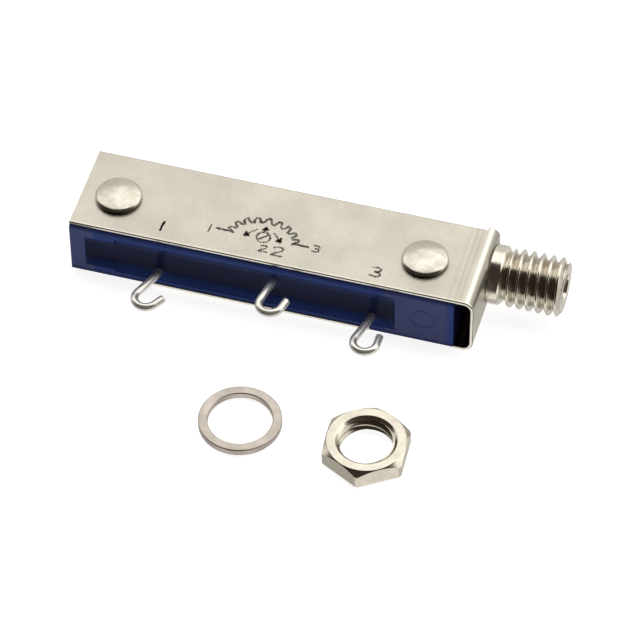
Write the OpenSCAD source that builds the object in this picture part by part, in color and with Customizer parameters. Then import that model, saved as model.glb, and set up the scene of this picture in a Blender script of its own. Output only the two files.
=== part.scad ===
// Multi-turn trimmer potentiometer for panel mounting, with its lock washer and nut.
// The origin is the middle of the mounting face, on the axis of the threaded bushing.
// X points out of the bushing, Z is up, and the solder hooks point to -Y. Sizes are in millimetres.

/* [Housing] */
// Length of the moulded housing
body_len = 31.75; // [30.5:0.05:33]
// Width of the housing, from the hook side to the back
body_w = 8.1; // [7.9:0.05:8.6]
// Thickness of the housing between the two sheet faces
body_t = 4.75; // [4.6:0.05:5.2]
// Distance from the screw's axis to the housing's back face
axis_back = 1.97; // [1.9:0.01:2.05]
// Chamfer along the housing's long top edges
edge_cham = 0.18; // [0.05:0.01:0.3]
// Thickness of the housing's back wall
back_wall = 0.55; // [0.4:0.05:0.7]
// Thickness of the wall between the potting well and the inside
well_wall = 0.5; // [0.35:0.05:0.7]
// Thickness of the lid that closes the housing from below
lid_t = 0.4; // [0.3:0.05:0.5]
// Depth of the potting well in the hook side
well_depth = 1.2; // [0.9:0.05:1.4]
// Rim left above the potting well
rim_top = 0.65; // [0.5:0.05:0.9]
// Rim left below the potting well
rim_bottom = 0.37; // [0.3:0.01:0.5]
// Extra rim above and below at the narrow end of the well
rim_step = 0.36; // [0.2:0.01:0.5]
// Solid block left of the well
block_left = 1.25; // [0.8:0.05:1.6]
// Length of the narrow end of the well
well_narrow = 2.5; // [1.5:0.1:3]
// Solid block right of the well
block_right = 4.8; // [4.6:0.05:5.1]
// Radius of the moulding mark on the right block
mark_r = 1; // [0.8:0.05:1.3]
// Depth of the moulding mark
mark_depth = 0.04; // [0.03:0.01:0.15]

/* [Cover] */
// Thickness of the cover's sheet
sheet_t = 0.3; // [0.2:0.02:0.4]
// Width of the cover's two long faces
cover_w = 8.26; // [8.2:0.02:8.8]
// Extra width of the end wall on the back, past the long faces
wall_extra = 0.4; // [0.35:0.01:0.6]
// Outside radius of the cover's two bends
bend_r = 0.9; // [0.7:0.05:1.1]
// Gap between the housing's end and the cover's end wall
end_gap = 1.3; // [1.2:0.05:1.8]
// Distance of the locating lips from the housing's ends
lip_len = 6.9; // [5:0.1:7.2]
// Thickness of the locating lips
lip_t = 0.33; // [0.25:0.01:0.45]

/* [Rivets] */
// Distance from the housing's left end to the left rivet
rivet_left_in = 3.05; // [2.7:0.05:3.2]
// Distance from the housing's right end to the right rivet
rivet_right_in = 3.3; // [3.2:0.05:3.5]
// Offset of the rivets from the housing's middle line, towards the hooks
rivet_off = 0.37; // [0.3:0.01:0.6]
// Radius of the rivet's shank
shank_r = 1.05; // [0.9:0.05:1.05]
// Radius of the domed head
head_r = 1.87; // [1.6:0.01:2.1]
// Height of the domed head
head_h = 0.74; // [0.6:0.01:0.9]
// Radius of the head's rounded rim
head_rim = 0.25; // [0.15:0.01:0.28]
// Radius of the rolled end under the cover
rolled_r = 1.55; // [1.3:0.05:1.8]
// Height of the rolled end under the cover
rolled_h = 0.35; // [0.25:0.05:0.5]
// Radius of the hollow in the rivet's rolled end
hollow_r = 0.6; // [0.4:0.05:0.7]
// Depth of the hollow in the rivet's rolled end
hollow_depth = 1.3; // [0.8:0.1:2]

/* [Bushing] */
// Radius over the bushing's thread and shoulder
bush_r = 2.4; // [2.3:0.01:2.42]
// Length of the bushing from the mounting face
bush_len = 6; // [5:0.1:12]
// Length of the plain shoulder at the mounting face
shoulder_len = 1.2; // [0.8:0.05:1.6]
// Pitch of the bushing's thread
bush_pitch = 0.794; // [0.7:0.001:0.85]
// Radius of the swaged end that holds the bushing in the end wall
spigot_r = 1.5; // [1.45:0.05:1.6]

/* [Adjusting screw] */
// Radius of the screw's shaft
shaft_r = 1.05; // [0.95:0.01:1.06]
// Radius over the lead thread
lead_r = 1; // [0.9:0.01:1]
// Pitch of the lead thread, the carriage's travel for each turn
lead_pitch = 0.8; // [0.7:0.01:0.85]
// Depth of the lead thread
lead_depth = 0.34; // [0.25:0.01:0.4]
// Radius of the journal at the screw's far end
journal_r = 0.6; // [0.5:0.02:0.62]
// Distance from the bushing's end down to the screw's end
screw_recess = 0.35; // [0.1:0.05:0.8]
// Width of the screwdriver slot
slot_w = 0.5; // [0.35:0.05:0.7]
// Depth of the screwdriver slot
slot_depth = 0.8; // [0.5:0.05:1.2]

/* [Carriage] */
// Length of the carriage along the screw
carriage_len = 3.6; // [3:0.1:4.2]
// Thickness of the wiper spring
spring_t = 0.1; // [0.08:0.01:0.14]
// Width of the wiper spring
spring_w = 0.9; // [0.6:0.05:1.1]

/* [Element] */
// Thickness of the ceramic strip
ceramic_t = 0.4; // [0.3:0.02:0.4]
// Thickness of the fired films on the ceramic strip
film_t = 0.05; // [0.03:0.01:0.07]
// Width of the resistive track
track_w = 1; // [0.7:0.05:1.2]
// Thickness of the collector strip
collector_t = 0.2; // [0.15:0.01:0.25]

/* [Hook terminals] */
// Diameter of the terminal wire
wire_d = 0.64; // [0.55:0.01:0.68]
// Radius of the hook, to the middle of the wire
hook_r = 0.94; // [0.8:0.01:1.1]
// Distance from the housing's face to the middle of each hook
hook_reach = [2.74, 2.13, 2.6];
// Lean of each hook's shank, in degrees, for terminals 1, 2 and 3
hook_lean = [23, 12, 16];
// Angle at which each hook's bend ends, in degrees
hook_wrap = [148, 165, 179];
// Straight tip of the hook
hook_tip = 0.95; // [0.5:0.05:1.1]
// Place of the terminals, from the housing's left end, the middle of its inside and its right end
hook_place = [7.3, 1.1, -6.75];

/* [Lock washer and nut] */
// Outside radius of the lock washer
washer_r = 3.3; // [3.1:0.05:3.6]
// Inside radius of the lock washer
washer_bore_r = 2.56; // [2.5:0.01:2.7]
// Thickness of the lock washer
washer_t = 0.62; // [0.5:0.02:0.9]
// Rise of the split washer over one turn
washer_rise = 0.12; // [0.05:0.01:0.25]
// Width of the nut across its flats
nut_af = 6.35; // [6.2:0.05:7]
// Height of the nut
nut_h = 1.6; // [1.4:0.05:2.4]
// Place of the lock washer on the ground, from the origin
washer_pos = [-15.69, -17.86];
// Place of the nut on the ground, from the origin
nut_pos = [-5.39, -18.04];

/* [Hidden] */
$fn = 48;

// Clearances and cutting allowances
eps = 0.01;
cut = 1;
seat_gap = 0.02;
run_gap = 0.05;

// Colours
nickel = [0.83, 0.80, 0.74];
bright_nickel = [0.90, 0.88, 0.82];
blue = [0.13, 0.17, 0.38];
dark_blue = [0.07, 0.09, 0.17];
tinned = [0.80, 0.79, 0.77];
steel = [0.72, 0.72, 0.72];
rubber_black = [0.08, 0.08, 0.08];
ivory = [0.92, 0.90, 0.84];
ceramic_white = [0.94, 0.93, 0.90];
cermet = [0.22, 0.20, 0.19];
silver_film = [0.78, 0.78, 0.76];
spring_bronze = [0.80, 0.62, 0.36];

// Places along X
wall_in = -sheet_t;
body_right = wall_in - end_gap;
body_left = body_right - body_len;
rivet_right_x = body_right - rivet_right_in;
rivet_left_x = body_left + rivet_left_in;
post_wall = 0.4;
rivet_hole_r = shank_r + run_gap;
cavity_right = rivet_right_x - rivet_hole_r - post_wall;
cavity_left = rivet_left_x + rivet_hole_r + post_wall;
cavity_mid = (cavity_left + cavity_right) / 2;
well_right = body_right - block_right;
well_left = body_left + block_left;
hook_x = [body_left + hook_place[0], cavity_mid + hook_place[1], body_right + hook_place[2]];

// Places along Y
back_y = axis_back;
front_y = back_y - body_w;
mid_y = (front_y + back_y) / 2;
cover_front = mid_y - cover_w / 2;
cover_back = mid_y + cover_w / 2;
rivet_y = mid_y - rivet_off;
well_floor = front_y + well_depth;
cavity_front = well_floor + well_wall;
cavity_back = back_y - back_wall;
ledge_wall = 0.85;
ledge_y = -lead_r - ledge_wall;

// Places along Z
half_t = body_t / 2;
top_out = half_t + sheet_t;
ground_z = -top_out - rolled_h;
lid_top = -half_t + lid_t;
ceramic_top = lid_top + ceramic_t;
film_top = ceramic_top + film_t;
wire_r = wire_d / 2;
base_bend_r = 0.9;
wire_stick = 0.6;
wire_in = cavity_front + wire_stick;
low_wire_z = film_top + wire_r;
top_wall = 0.45;
ledge_h = 0.88;
cavity_top = half_t - top_wall;
ledge_z = cavity_top - ledge_h;
collector_z = ledge_z - collector_t;
high_wire_z = collector_z - wire_r;
hook_z = [low_wire_z, high_wire_z, low_wire_z];
well_top = half_t - rim_top;
well_bottom = -half_t + rim_bottom;

// Screw, seal and clip along X
shaft_bore_r = shaft_r + run_gap;
screw_end = bush_len - screw_recess;
seal_r = 1.7;
seal_room = 0.9;
seal_cover = 0.55;
seal_right = body_right - seal_cover;
seal_left = seal_right - seal_room;
clip_t = 0.28;
clip_r = 1.75;
groove_depth = 0.2;
clip_groove_r = shaft_r - groove_depth;
clip_x = body_right + seat_gap;
collar_r = 1.3;
collar_t = 0.3;
collar_x = cavity_right - seat_gap - collar_t;
runout = 0.2;
thread_right = collar_x - runout;
thread_left = cavity_left + runout;
journal_len = 0.75;
lead_root_r = lead_r - lead_depth;

// Bushing
bush_bore_r = shaft_bore_r;
bush_root_r = bush_r - 0.6134 * bush_pitch;
relief_len = 0.2;
relief_end = shoulder_len + relief_len;
rim_w = 0.25;
rim_r = spigot_r + rim_w;
rim_t = 0.3;

// Carriage, whose middle is at the middle of the cavity
slide_gap = 0.12;
under_gap = 0.27;
over_gap = 0.3;
arm_inset = 0.4;
leg_room = 0.6;
leg_room_top = 0.5;
block_back = cavity_back - slide_gap;
block_front = ledge_y + 3 * slide_gap;
block_bottom = film_top + under_gap;
block_top = cavity_top - over_gap;
side_room = block_front - cavity_front;
arm_front = cavity_front + 0.27 * side_room;
arm_half = carriage_len / 2 - arm_inset;
arm_bottom = film_top + leg_room;
arm_top = collector_z - leg_room_top;
spring_y = arm_front + 0.1 * side_room;
touch_gap = 0.03;

// Films and strips
track_y = spring_y + spring_w / 2;
contact_w = 1.3;
track_half = (cavity_right - cavity_left) / 2 - contact_w;
track_margin = 0.5;
strip_side_gap = 0.08;
strip_end_gap = 0.3;

// Draws what follows as a revolved shape about the X axis, with x along the axis
module about_x() rotate([0, 90, 0]) children();

// A solid rod along X from x0 to x1
module rod_x(r, x0, x1) translate([x0, 0, 0]) about_x() cylinder(h = x1 - x0, r = r);

// A cone along X, radius r0 at x0 and r1 at x1
module cone_x(r0, r1, x0, x1) translate([x0, 0, 0]) about_x() cylinder(h = x1 - x0, r1 = r0, r2 = r1);

// A box from one corner to the opposite one
module block(low, high) translate(low) cube(high - low);

// One ring of a thread ridge: the four corners of its section at turn angle a, for a ridge of height k
function ridge_ring(root, crest, pitch, a, k, flat, foot) =
    let (z = pitch * a / 360, r = root + (crest - root) * k, w = flat + (foot - flat) * (1 - k))
    [for (p = [[root - 0.08, -foot], [r, -w], [r, w], [root - 0.08, foot]])
        [p[0] * cos(a), p[0] * sin(a), z + p[1] * pitch]];

// The height of a ridge along its length: it fades in and out over fade degrees
function ridge_height(a, last, fade) = max(0.02, min(1, a / fade, (last - a) / fade));

// A right-hand helical ridge about Z, closed at both ends
module thread_ridge(root, crest, pitch, turns, steps, flat = 0.07, foot = 0.44, fade = 120) {
    last = 360 * turns;
    count = ceil(steps * turns);
    rings = [for (i = [0:count]) let (a = last * i / count)
        ridge_ring(root, crest, pitch, a, ridge_height(a, last, fade), flat, foot)];
    points = [for (ring = rings) for (p = ring) p];
    sides = [for (i = [0:count - 1]) for (j = [0:3]) let (k = (j + 1) % 4)
        for (f = [[4 * i + j, 4 * i + k, 4 * i + 4 + j], [4 * i + k, 4 * i + 4 + k, 4 * i + 4 + j]]) f];
    ends = [[3, 2, 1, 0], [4 * count, 4 * count + 1, 4 * count + 2, 4 * count + 3]];
    polyhedron(points = points, faces = concat(sides, ends), convexity = 10);
}

// Outline of the folded sheet in X and Z, grown inwards by inset
module folded_outline(inset) {
    x1 = -inset;
    z1 = top_out - inset;
    r = bend_r - inset;
    translate([body_left - cut, -z1]) square([x1 - r - body_left + cut, 2 * z1]);
    translate([x1 - r - eps, -z1 + r]) square([r + eps, 2 * (z1 - r)]);
    for (s = [-1, 1]) translate([x1 - r, s * (z1 - r)]) circle(r = r);
}

// The folded sheet's section over a width in Y, between y0 and y1
module folded_sheet(y0, y1) {
    translate([0, y1, 0]) rotate([90, 0, 0]) linear_extrude(y1 - y0) difference() {
        folded_outline(0);
        folded_outline(sheet_t);
        translate([body_left - 2 * cut, -body_t]) square([2 * cut, 2 * body_t]);
    }
}

module cover() {
    color(nickel) difference() {
        union() {
            folded_sheet(cover_front, cover_back);
            // The end wall and its bends reach further back, past the bushing
            intersection() {
                folded_sheet(cover_back - cut, cover_back + wall_extra);
                block([-bend_r, cover_back - cut, -top_out - cut], [cut, cover_back + cut, top_out + cut]);
            }
        }
        for (x = [rivet_left_x, rivet_right_x])
            translate([x, rivet_y, -top_out - cut]) cylinder(h = 2 * (top_out + cut), r = rivet_hole_r);
        rod_x(spigot_r + seat_gap, -cut, cut);
        // Room in the lower face for the housing's locating lips
        for (x = [body_left - run_gap, body_right - lip_len - run_gap])
            block([x, cover_front - cut, -top_out - cut],
                [x + lip_len + 2 * run_gap, front_y + lip_t + run_gap, -half_t]);
    }
}

// Points on an arc about c in a section's plane
function arc_points(c, r, a0, a1, n) =
    [for (k = [0:n]) let (a = a0 + (a1 - a0) * k / n) [c[0] + r * cos(a), c[1] + r * sin(a)]];

// A semi-tubular rivet: a domed head with a rounded rim on top, and its rolled end below
module rivet(x) {
    foot = -top_out - rolled_h;
    hollow_top = foot + hollow_depth;
    rim_mid = head_r - head_rim;
    // Height of the dome's centre, for a dome that runs smoothly into the rim
    drop = (pow(rim_mid, 2) + pow(head_rim, 2) - pow(head_h - head_rim, 2)) / (2 * (head_h - 2 * head_rim));
    dome_r = head_h + drop;
    join_a = atan2(head_rim + drop, rim_mid);
    color(bright_nickel) translate([x, rivet_y, 0]) rotate_extrude($fn = 72) polygon(concat(
        [[0, hollow_top], [hollow_r, hollow_top], [hollow_r, foot + 0.3]],
        arc_points([rolled_r - rolled_h / 2, foot + rolled_h / 2], rolled_h / 2, -90, 90, 6),
        [[shank_r, -top_out], [shank_r, top_out]],
        arc_points([rim_mid, top_out + head_rim], head_rim, -90, join_a, 8),
        arc_points([0, top_out - drop], dome_r, join_a + (90 - join_a) / 10, 90, 9)));
}

module bushing() {
    cham = 0.3;
    thread_start = relief_end + 0.67 * bush_pitch;
    turns = (bush_len - cham - thread_start) / bush_pitch;
    color(bright_nickel) difference() {
        union() {
            // Plain shoulder with a chamfer towards the thread
            rod_x(bush_r, 0, shoulder_len - cham);
            cone_x(bush_r, bush_r - cham, shoulder_len - cham, shoulder_len);
            rod_x(bush_root_r, 0, bush_len - cham);
            cone_x(bush_root_r, bush_root_r - cham + 0.1, bush_len - cham - eps, bush_len);
            translate([thread_start, 0, 0]) about_x()
                thread_ridge(bush_root_r, bush_r, bush_pitch, turns, 32, fade = 70);
            // Spigot through the end wall, swaged over on the inside
            rod_x(spigot_r, wall_in - rim_t, eps);
            rod_x(rim_r, wall_in - rim_t, wall_in);
        }
        rod_x(bush_bore_r, wall_in - rim_t - cut, bush_len + cut);
    }
}

// The body of the housing before anything is cut out of it
module housing_blank() {
    difference() {
        block([body_left, front_y, -half_t], [body_right, back_y, half_t]);
        for (y = [front_y, back_y]) translate([body_left - cut, y, half_t]) rotate([45, 0, 0])
            translate([0, -edge_cham * sqrt(0.5), -edge_cham * sqrt(0.5)])
                cube([body_len + 2 * cut, 2 * edge_cham * sqrt(0.5), 2 * edge_cham * sqrt(0.5)]);
    }
    // Locating lips, one at each end, in front of the cover's lower face
    for (x = [body_left, body_right - lip_len])
        block([x, front_y, -top_out + run_gap], [x + lip_len, front_y + lip_t, -half_t + eps]);
}

// The potting well, as a space, from y0 inwards to its floor
module well_space(y0) {
    block([well_left + well_narrow, y0, well_bottom], [well_right, well_floor, well_top]);
    block([well_left, y0, well_bottom + rim_step / 2],
        [well_left + well_narrow + eps, well_floor, well_top - rim_step]);
}

module housing() {
    color(blue) difference() {
        housing_blank();
        well_space(front_y - cut);
        // The inside, with a ledge along the top for the collector strip
        block([cavity_left, cavity_front, -half_t - cut], [cavity_right, cavity_back, ledge_z]);
        block([cavity_left, ledge_y, 0], [cavity_right, cavity_back, cavity_top]);
        // Seat for the lid
        block([cavity_left - 0.2, cavity_front - 0.2, -half_t - cut],
            [cavity_right + 0.2, cavity_back + 0.2, lid_top]);
        for (x = [rivet_left_x, rivet_right_x])
            translate([x, rivet_y, -top_out]) cylinder(h = 2 * top_out, r = rivet_hole_r);
        // Bore for the screw's shaft, the seal's seat and the far journal
        rod_x(shaft_bore_r, cavity_right - eps, body_right + cut);
        rod_x(seal_r, seal_left, seal_right);
        rod_x(journal_r + run_gap, cavity_left - journal_len - 2 * run_gap, cavity_left + eps);
        for (i = [0:2]) translate([hook_x[i], well_floor - eps, hook_z[i]]) rotate([-90, 0, 0])
            cylinder(h = well_wall + 2 * eps, r = wire_r + seat_gap);
        // Ring-shaped moulding mark on the right block
        translate([(well_right + body_right) / 2 - 0.15, front_y + mark_depth, 0]) rotate([90, 0, 0])
            difference() {
                cylinder(h = cut, r = mark_r);
                cylinder(h = cut, r = mark_r - 0.15);
            }
    }
}

module housing_lid() {
    g = 0.2 - seat_gap;
    color(blue) block([cavity_left - g, cavity_front - g, -half_t],
        [cavity_right + g, cavity_back + g, lid_top]);
}

// Resin that fills the well round the terminals, with a hollow face between the rims
module potting_seal() {
    climb = 0.1;
    sag = 0.36;
    h = (well_top - well_bottom) / 2;
    mid_z = (well_top + well_bottom) / 2;
    r = (pow(h, 2) + pow(sag, 2)) / (2 * sag);
    color(dark_blue) difference() {
        well_space(front_y + climb);
        translate([body_left, front_y + climb + sag - r, mid_z]) about_x()
            cylinder(h = body_len, r = r, $fn = 160);
        for (i = [0:2]) translate([hook_x[i], front_y - cut, hook_z[i]]) rotate([-90, 0, 0])
            cylinder(h = well_depth + 2 * cut, r = wire_r + seat_gap);
    }
}

// Stations on an arc about c, from angle a0 to a1: place, heading and the wire's radius there
function arc_stations(c, r, a0, a1, n, side) =
    [for (k = [0:n]) let (a = a0 + (a1 - a0) * k / n)
        [c[0] + r * cos(a), c[1] + r * sin(a), a + side, wire_r]];

// A tube through stations that all lie in one flat plane, closed at both ends
module flat_tube(stations, sides) {
    count = len(stations);
    points = [for (s = stations) for (j = [0:sides - 1]) let (b = 360 * j / sides)
        [s[0] - s[3] * cos(b) * sin(s[2]), s[1] + s[3] * cos(b) * cos(s[2]), s[3] * sin(b)]];
    skin = [for (i = [0:count - 2]) for (j = [0:sides - 1]) let (k = (j + 1) % sides, p = sides * i)
        for (f = [[p + j, p + k, p + sides + j], [p + k, p + sides + k, p + sides + j]]) f];
    ends = [[for (j = [sides - 1:-1:0]) j], [for (j = [0:sides - 1]) sides * (count - 1) + j]];
    polyhedron(points = points, faces = concat(skin, ends), convexity = 6);
}

// Terminal wire with a flat hook: straight out of the resin, a lean to the left, then round to the right
module terminal(i) {
    lean = hook_lean[i];
    wrap = hook_wrap[i];
    trim = 0.06;
    centre_y = front_y - hook_reach[i];
    bend_x = hook_x[i] - base_bend_r;
    // Both ends of the leaning shank, each tangent to the bend beside it
    shank_y = [front_y + 0.1 - base_bend_r * sin(lean), centre_y + hook_r * sin(lean)];
    shank_len = (shank_y[0] - shank_y[1]) / cos(lean);
    centre_x = bend_x + (base_bend_r + hook_r) * cos(lean) - shank_len * sin(lean);
    tip_x = centre_x + hook_r * cos(wrap - 180);
    tip_y = centre_y + hook_r * sin(wrap - 180);
    tip_d = [-sin(wrap - 180), cos(wrap - 180)];
    color(tinned) translate([0, 0, hook_z[i]]) flat_tube(concat(
        [[hook_x[i], wire_in, -90, wire_r - trim], [hook_x[i], wire_in - trim, -90, wire_r]],
        arc_stations([bend_x, front_y + 0.1], base_bend_r, 0, -lean, 5, -90),
        arc_stations([centre_x, centre_y], hook_r, 180 - lean, wrap + 180, 26, 90),
        [[tip_x + (hook_tip - trim) * tip_d[0], tip_y + (hook_tip - trim) * tip_d[1], wrap - 90, wire_r],
            [tip_x + hook_tip * tip_d[0], tip_y + hook_tip * tip_d[1], wrap - 90, wire_r - trim]]), 20);
}

module adjusting_screw() {
    color(steel) difference() {
        union() {
            rod_x(shaft_r, cavity_right - seat_gap - eps, clip_x);
            rod_x(clip_groove_r, clip_x - eps, clip_x + clip_t + 2 * seat_gap);
            rod_x(shaft_r, clip_x + clip_t + 2 * seat_gap - eps, screw_end - 0.1);
            cone_x(shaft_r, shaft_r - 0.1, screw_end - 0.1 - eps, screw_end);
            rod_x(collar_r, collar_x, collar_x + collar_t);
            rod_x(lead_root_r, cavity_left, collar_x + eps);
            rod_x(journal_r, cavity_left - journal_len, cavity_left + eps);
            translate([thread_left, 0, 0]) about_x() thread_ridge(lead_root_r, lead_r, lead_pitch,
                (thread_right - thread_left) / lead_pitch, 12, flat = 0.09, foot = 0.36);
        }
        block([screw_end - slot_depth, -shaft_r - cut, -slot_w / 2],
            [screw_end + cut, shaft_r + cut, slot_w / 2]);
    }
}

// O-ring squeezed round the shaft in its seat
module shaft_seal() {
    section_r = (seal_r - shaft_r) / 2 - seat_gap;
    color(rubber_black) translate([(seal_left + seal_right) / 2, 0, 0]) about_x()
        rotate_extrude() translate([(seal_r + shaft_r) / 2, 0]) circle(r = section_r, $fn = 24);
}

// Open ring in the screw's groove, which stops the screw from sliding into the housing
module retaining_clip() {
    color(steel) difference() {
        rod_x(clip_r, clip_x + seat_gap, clip_x + seat_gap + clip_t);
        rod_x(clip_groove_r + seat_gap, clip_x - cut, clip_x + cut);
        block([clip_x - cut, 0, -clip_groove_r * 0.8], [clip_x + cut, clip_r + cut, clip_groove_r * 0.8]);
    }
}

// Phase of the lead thread at the carriage's middle, in degrees
carriage_phase = 360 * (cavity_mid - thread_left) / lead_pitch;

module carriage() {
    grip = 0.08;
    engaged = carriage_len + 2 * lead_pitch;
    color(ivory) difference() {
        union() {
            block([cavity_mid - carriage_len / 2, block_front, block_bottom],
                [cavity_mid + carriage_len / 2, block_back, block_top]);
            // Arm that carries the wiper spring
            block([cavity_mid - arm_half, arm_front, arm_bottom],
                [cavity_mid + arm_half, block_front + eps, arm_top]);
        }
        rod_x(lead_root_r + grip, cavity_left, cavity_right);
        // Internal thread, one clearance wider than the screw's
        translate([cavity_mid - engaged / 2, 0, 0]) about_x()
            rotate([0, 0, carriage_phase - 180 * engaged / lead_pitch])
            thread_ridge(lead_root_r + grip, lead_r + grip, lead_pitch, engaged / lead_pitch, 12,
                flat = 0.16, foot = 0.45, fade = 10);
    }
}

// Leaf spring round the carriage's arm: one leg presses on the collector, the other on the track
module wiper_spring() {
    x0 = cavity_mid - arm_half;
    reach = 2 * arm_half - 0.6;
    touch_top = collector_z - touch_gap - spring_t;
    touch_bottom = film_top + touch_gap + spring_t;
    half = spring_t / 2;
    back_x = -half - seat_gap;
    path = [[reach + 0.35, touch_top - 0.22], [reach, touch_top + half], [0.3, arm_top + 0.14],
        [back_x, arm_top + 0.07], [back_x, arm_bottom - 0.07], [0.3, arm_bottom - 0.14],
        [reach, touch_bottom - half], [reach + 0.35, touch_bottom + 0.22]];
    color(spring_bronze) translate([x0, spring_y + spring_w, 0]) rotate([90, 0, 0]) linear_extrude(spring_w)
        for (i = [0:len(path) - 2]) {
            d = path[i + 1] - path[i];
            translate(path[i]) rotate(atan2(d[1], d[0])) translate([0, -half]) square([norm(d), spring_t]);
            translate(path[i]) circle(r = half, $fn = 16);
        }
}

module ceramic_strip() {
    color(ceramic_white) block([cavity_left + strip_side_gap, cavity_front + strip_side_gap, lid_top],
        [cavity_right - strip_side_gap, track_y + track_w / 2 + track_margin, ceramic_top]);
}

module resistive_track() {
    color(cermet) block([cavity_mid - track_half + contact_w / 2, track_y - track_w / 2, ceramic_top],
        [cavity_mid + track_half - contact_w / 2, track_y + track_w / 2, film_top]);
}

// Silver film that joins one end of the track to the wire of its terminal
module end_contact(side, i) {
    x = cavity_mid + side * track_half;
    half = contact_w / 2;
    low_y = cavity_front + 2 * strip_side_gap;
    pad_y = track_y - track_w / 2 - 3 * strip_side_gap;
    color(silver_film) {
        block([x - half, low_y, ceramic_top], [x + half, track_y + track_w / 2, film_top]);
        block([min(x, hook_x[i]) - half, low_y, ceramic_top], [max(x, hook_x[i]) + half, pad_y, film_top]);
    }
}

module collector_strip() {
    color(silver_film) block([cavity_left + strip_end_gap, cavity_front + strip_side_gap, collector_z],
        [cavity_right - strip_end_gap, track_y + track_w / 2, ledge_z]);
}

// Bead of solder round the inner end of a terminal's wire
module solder_joint(i) {
    up = (i == 1 ? -1 : 1);
    base = (i == 1 ? collector_z : film_top);
    r = 0.42;
    color(silver_film) difference() {
        intersection() {
            translate([hook_x[i], cavity_front + 0.3, base]) sphere(r = r, $fn = 48);
            translate([hook_x[i] - cut, cavity_front + 0.05, min(base, base + up * r)])
                cube([2 * cut, 2 * r, r]);
        }
        translate([hook_x[i], cavity_front - cut, hook_z[i]]) rotate([-90, 0, 0])
            cylinder(h = cut + 0.65, r = wire_r + eps / 2, $fn = 32);
    }
}

// Split spring washer lying on the ground, its two ends a little apart in height at a slanted cut
module lock_washer() {
    gap_deg = 1;
    steps = 72;
    c = 0.08;
    ends_at = 22.6;
    // Degrees that the cut runs over for each millimetre outwards, and over the thickness
    slant = 8.6;
    lean = 1.2;
    mid_r = (washer_bore_r + washer_r) / 2;
    section = [[washer_bore_r, c], [washer_bore_r + c, 0], [washer_r - c, 0], [washer_r, c],
        [washer_r, washer_t - c], [washer_r - c, washer_t],
        [washer_bore_r + c, washer_t], [washer_bore_r, washer_t - c]];
    n = len(section);
    turn = 360 - gap_deg;
    rings = [for (i = [0:steps])
        let (a = ends_at + gap_deg / 2 + turn * i / steps, z = washer_rise * i / steps)
        [for (p = section) let (s = a - slant * (p[0] - mid_r) - lean * p[1] / washer_t)
            [p[0] * cos(s), p[0] * sin(s), p[1] + z]]];
    sides = [for (i = [0:steps - 1]) for (j = [0:n - 1]) let (k = (j + 1) % n)
        for (f = [[n * i + j, n * i + n + j, n * i + k], [n * i + k, n * i + n + j, n * i + n + k]]) f];
    ends = [[for (j = [0:n - 1]) j], [for (j = [n - 1:-1:0]) n * steps + j]];
    color(nickel) translate([washer_pos[0], washer_pos[1], ground_z])
        polyhedron(points = [for (ring = rings) for (p = ring) p], faces = concat(sides, ends), convexity = 6);
}

// Hexagon nut lying on its plain face, chamfered on top, with the bushing's thread inside
module hex_nut() {
    fit = 0.06;
    turn = 33;
    crest_gap = 0.19;
    corner_r = nut_af / 2 / cos(30);
    cham_h = (corner_r - nut_af / 2) * tan(38);
    minor_r = bush_root_r + crest_gap;
    mouth_r = bush_r + fit + 0.16;
    engaged = nut_h + 2 * bush_pitch;
    color(bright_nickel) translate([nut_pos[0], nut_pos[1], ground_z]) rotate([0, 0, turn]) difference() {
        intersection() {
            cylinder(h = nut_h, r = corner_r, $fn = 6);
            union() {
                cylinder(h = nut_h - cham_h, r = corner_r + cut);
                translate([0, 0, nut_h - cham_h - eps])
                    cylinder(h = cham_h + eps, r1 = corner_r, r2 = nut_af / 2);
            }
        }
        translate([0, 0, -cut]) cylinder(h = nut_h + 2 * cut, r = minor_r);
        translate([0, 0, -bush_pitch]) thread_ridge(minor_r, bush_r + fit, bush_pitch,
            engaged / bush_pitch, 32, flat = 0.1, foot = 0.42, fade = 10);
        translate([0, 0, nut_h - 0.3]) cylinder(h = 0.3 + eps, r1 = mouth_r - 0.3, r2 = mouth_r);
        translate([0, 0, -eps]) cylinder(h = 0.2, r1 = mouth_r - 0.1, r2 = mouth_r - 0.3);
    }
}

cover();
rivet(rivet_left_x);  // rivet_left
rivet(rivet_right_x);  // rivet_right
bushing();
housing();
housing_lid();
potting_seal();
terminal(0);  // terminal_1
terminal(1);  // terminal_2
terminal(2);  // terminal_3
adjusting_screw();
shaft_seal();
retaining_clip();
carriage();
wiper_spring();
ceramic_strip();
resistive_track();
end_contact(-1, 0);  // end_contact_1
end_contact(1, 2);  // end_contact_3
collector_strip();
solder_joint(0);  // solder_joint_1
solder_joint(1);  // solder_joint_2
solder_joint(2);  // solder_joint_3
lock_washer();
hex_nut();
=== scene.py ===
"""Looks of a multi-turn panel trimmer potentiometer, with its lock washer and its nut lying in front of it.

The solids give the frame. Most visible pieces are built again here as fine surfaces in the same place, with
the small roundings, eased threads and printed marks that the solids leave out. The housing and the inner
pieces keep their solids and are only dressed.
"""

import logging
import math
from collections.abc import Sequence
from dataclasses import dataclass, field
from enum import Enum

import bpy
import numpy as np
from mathutils import Matrix, Vector


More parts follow.
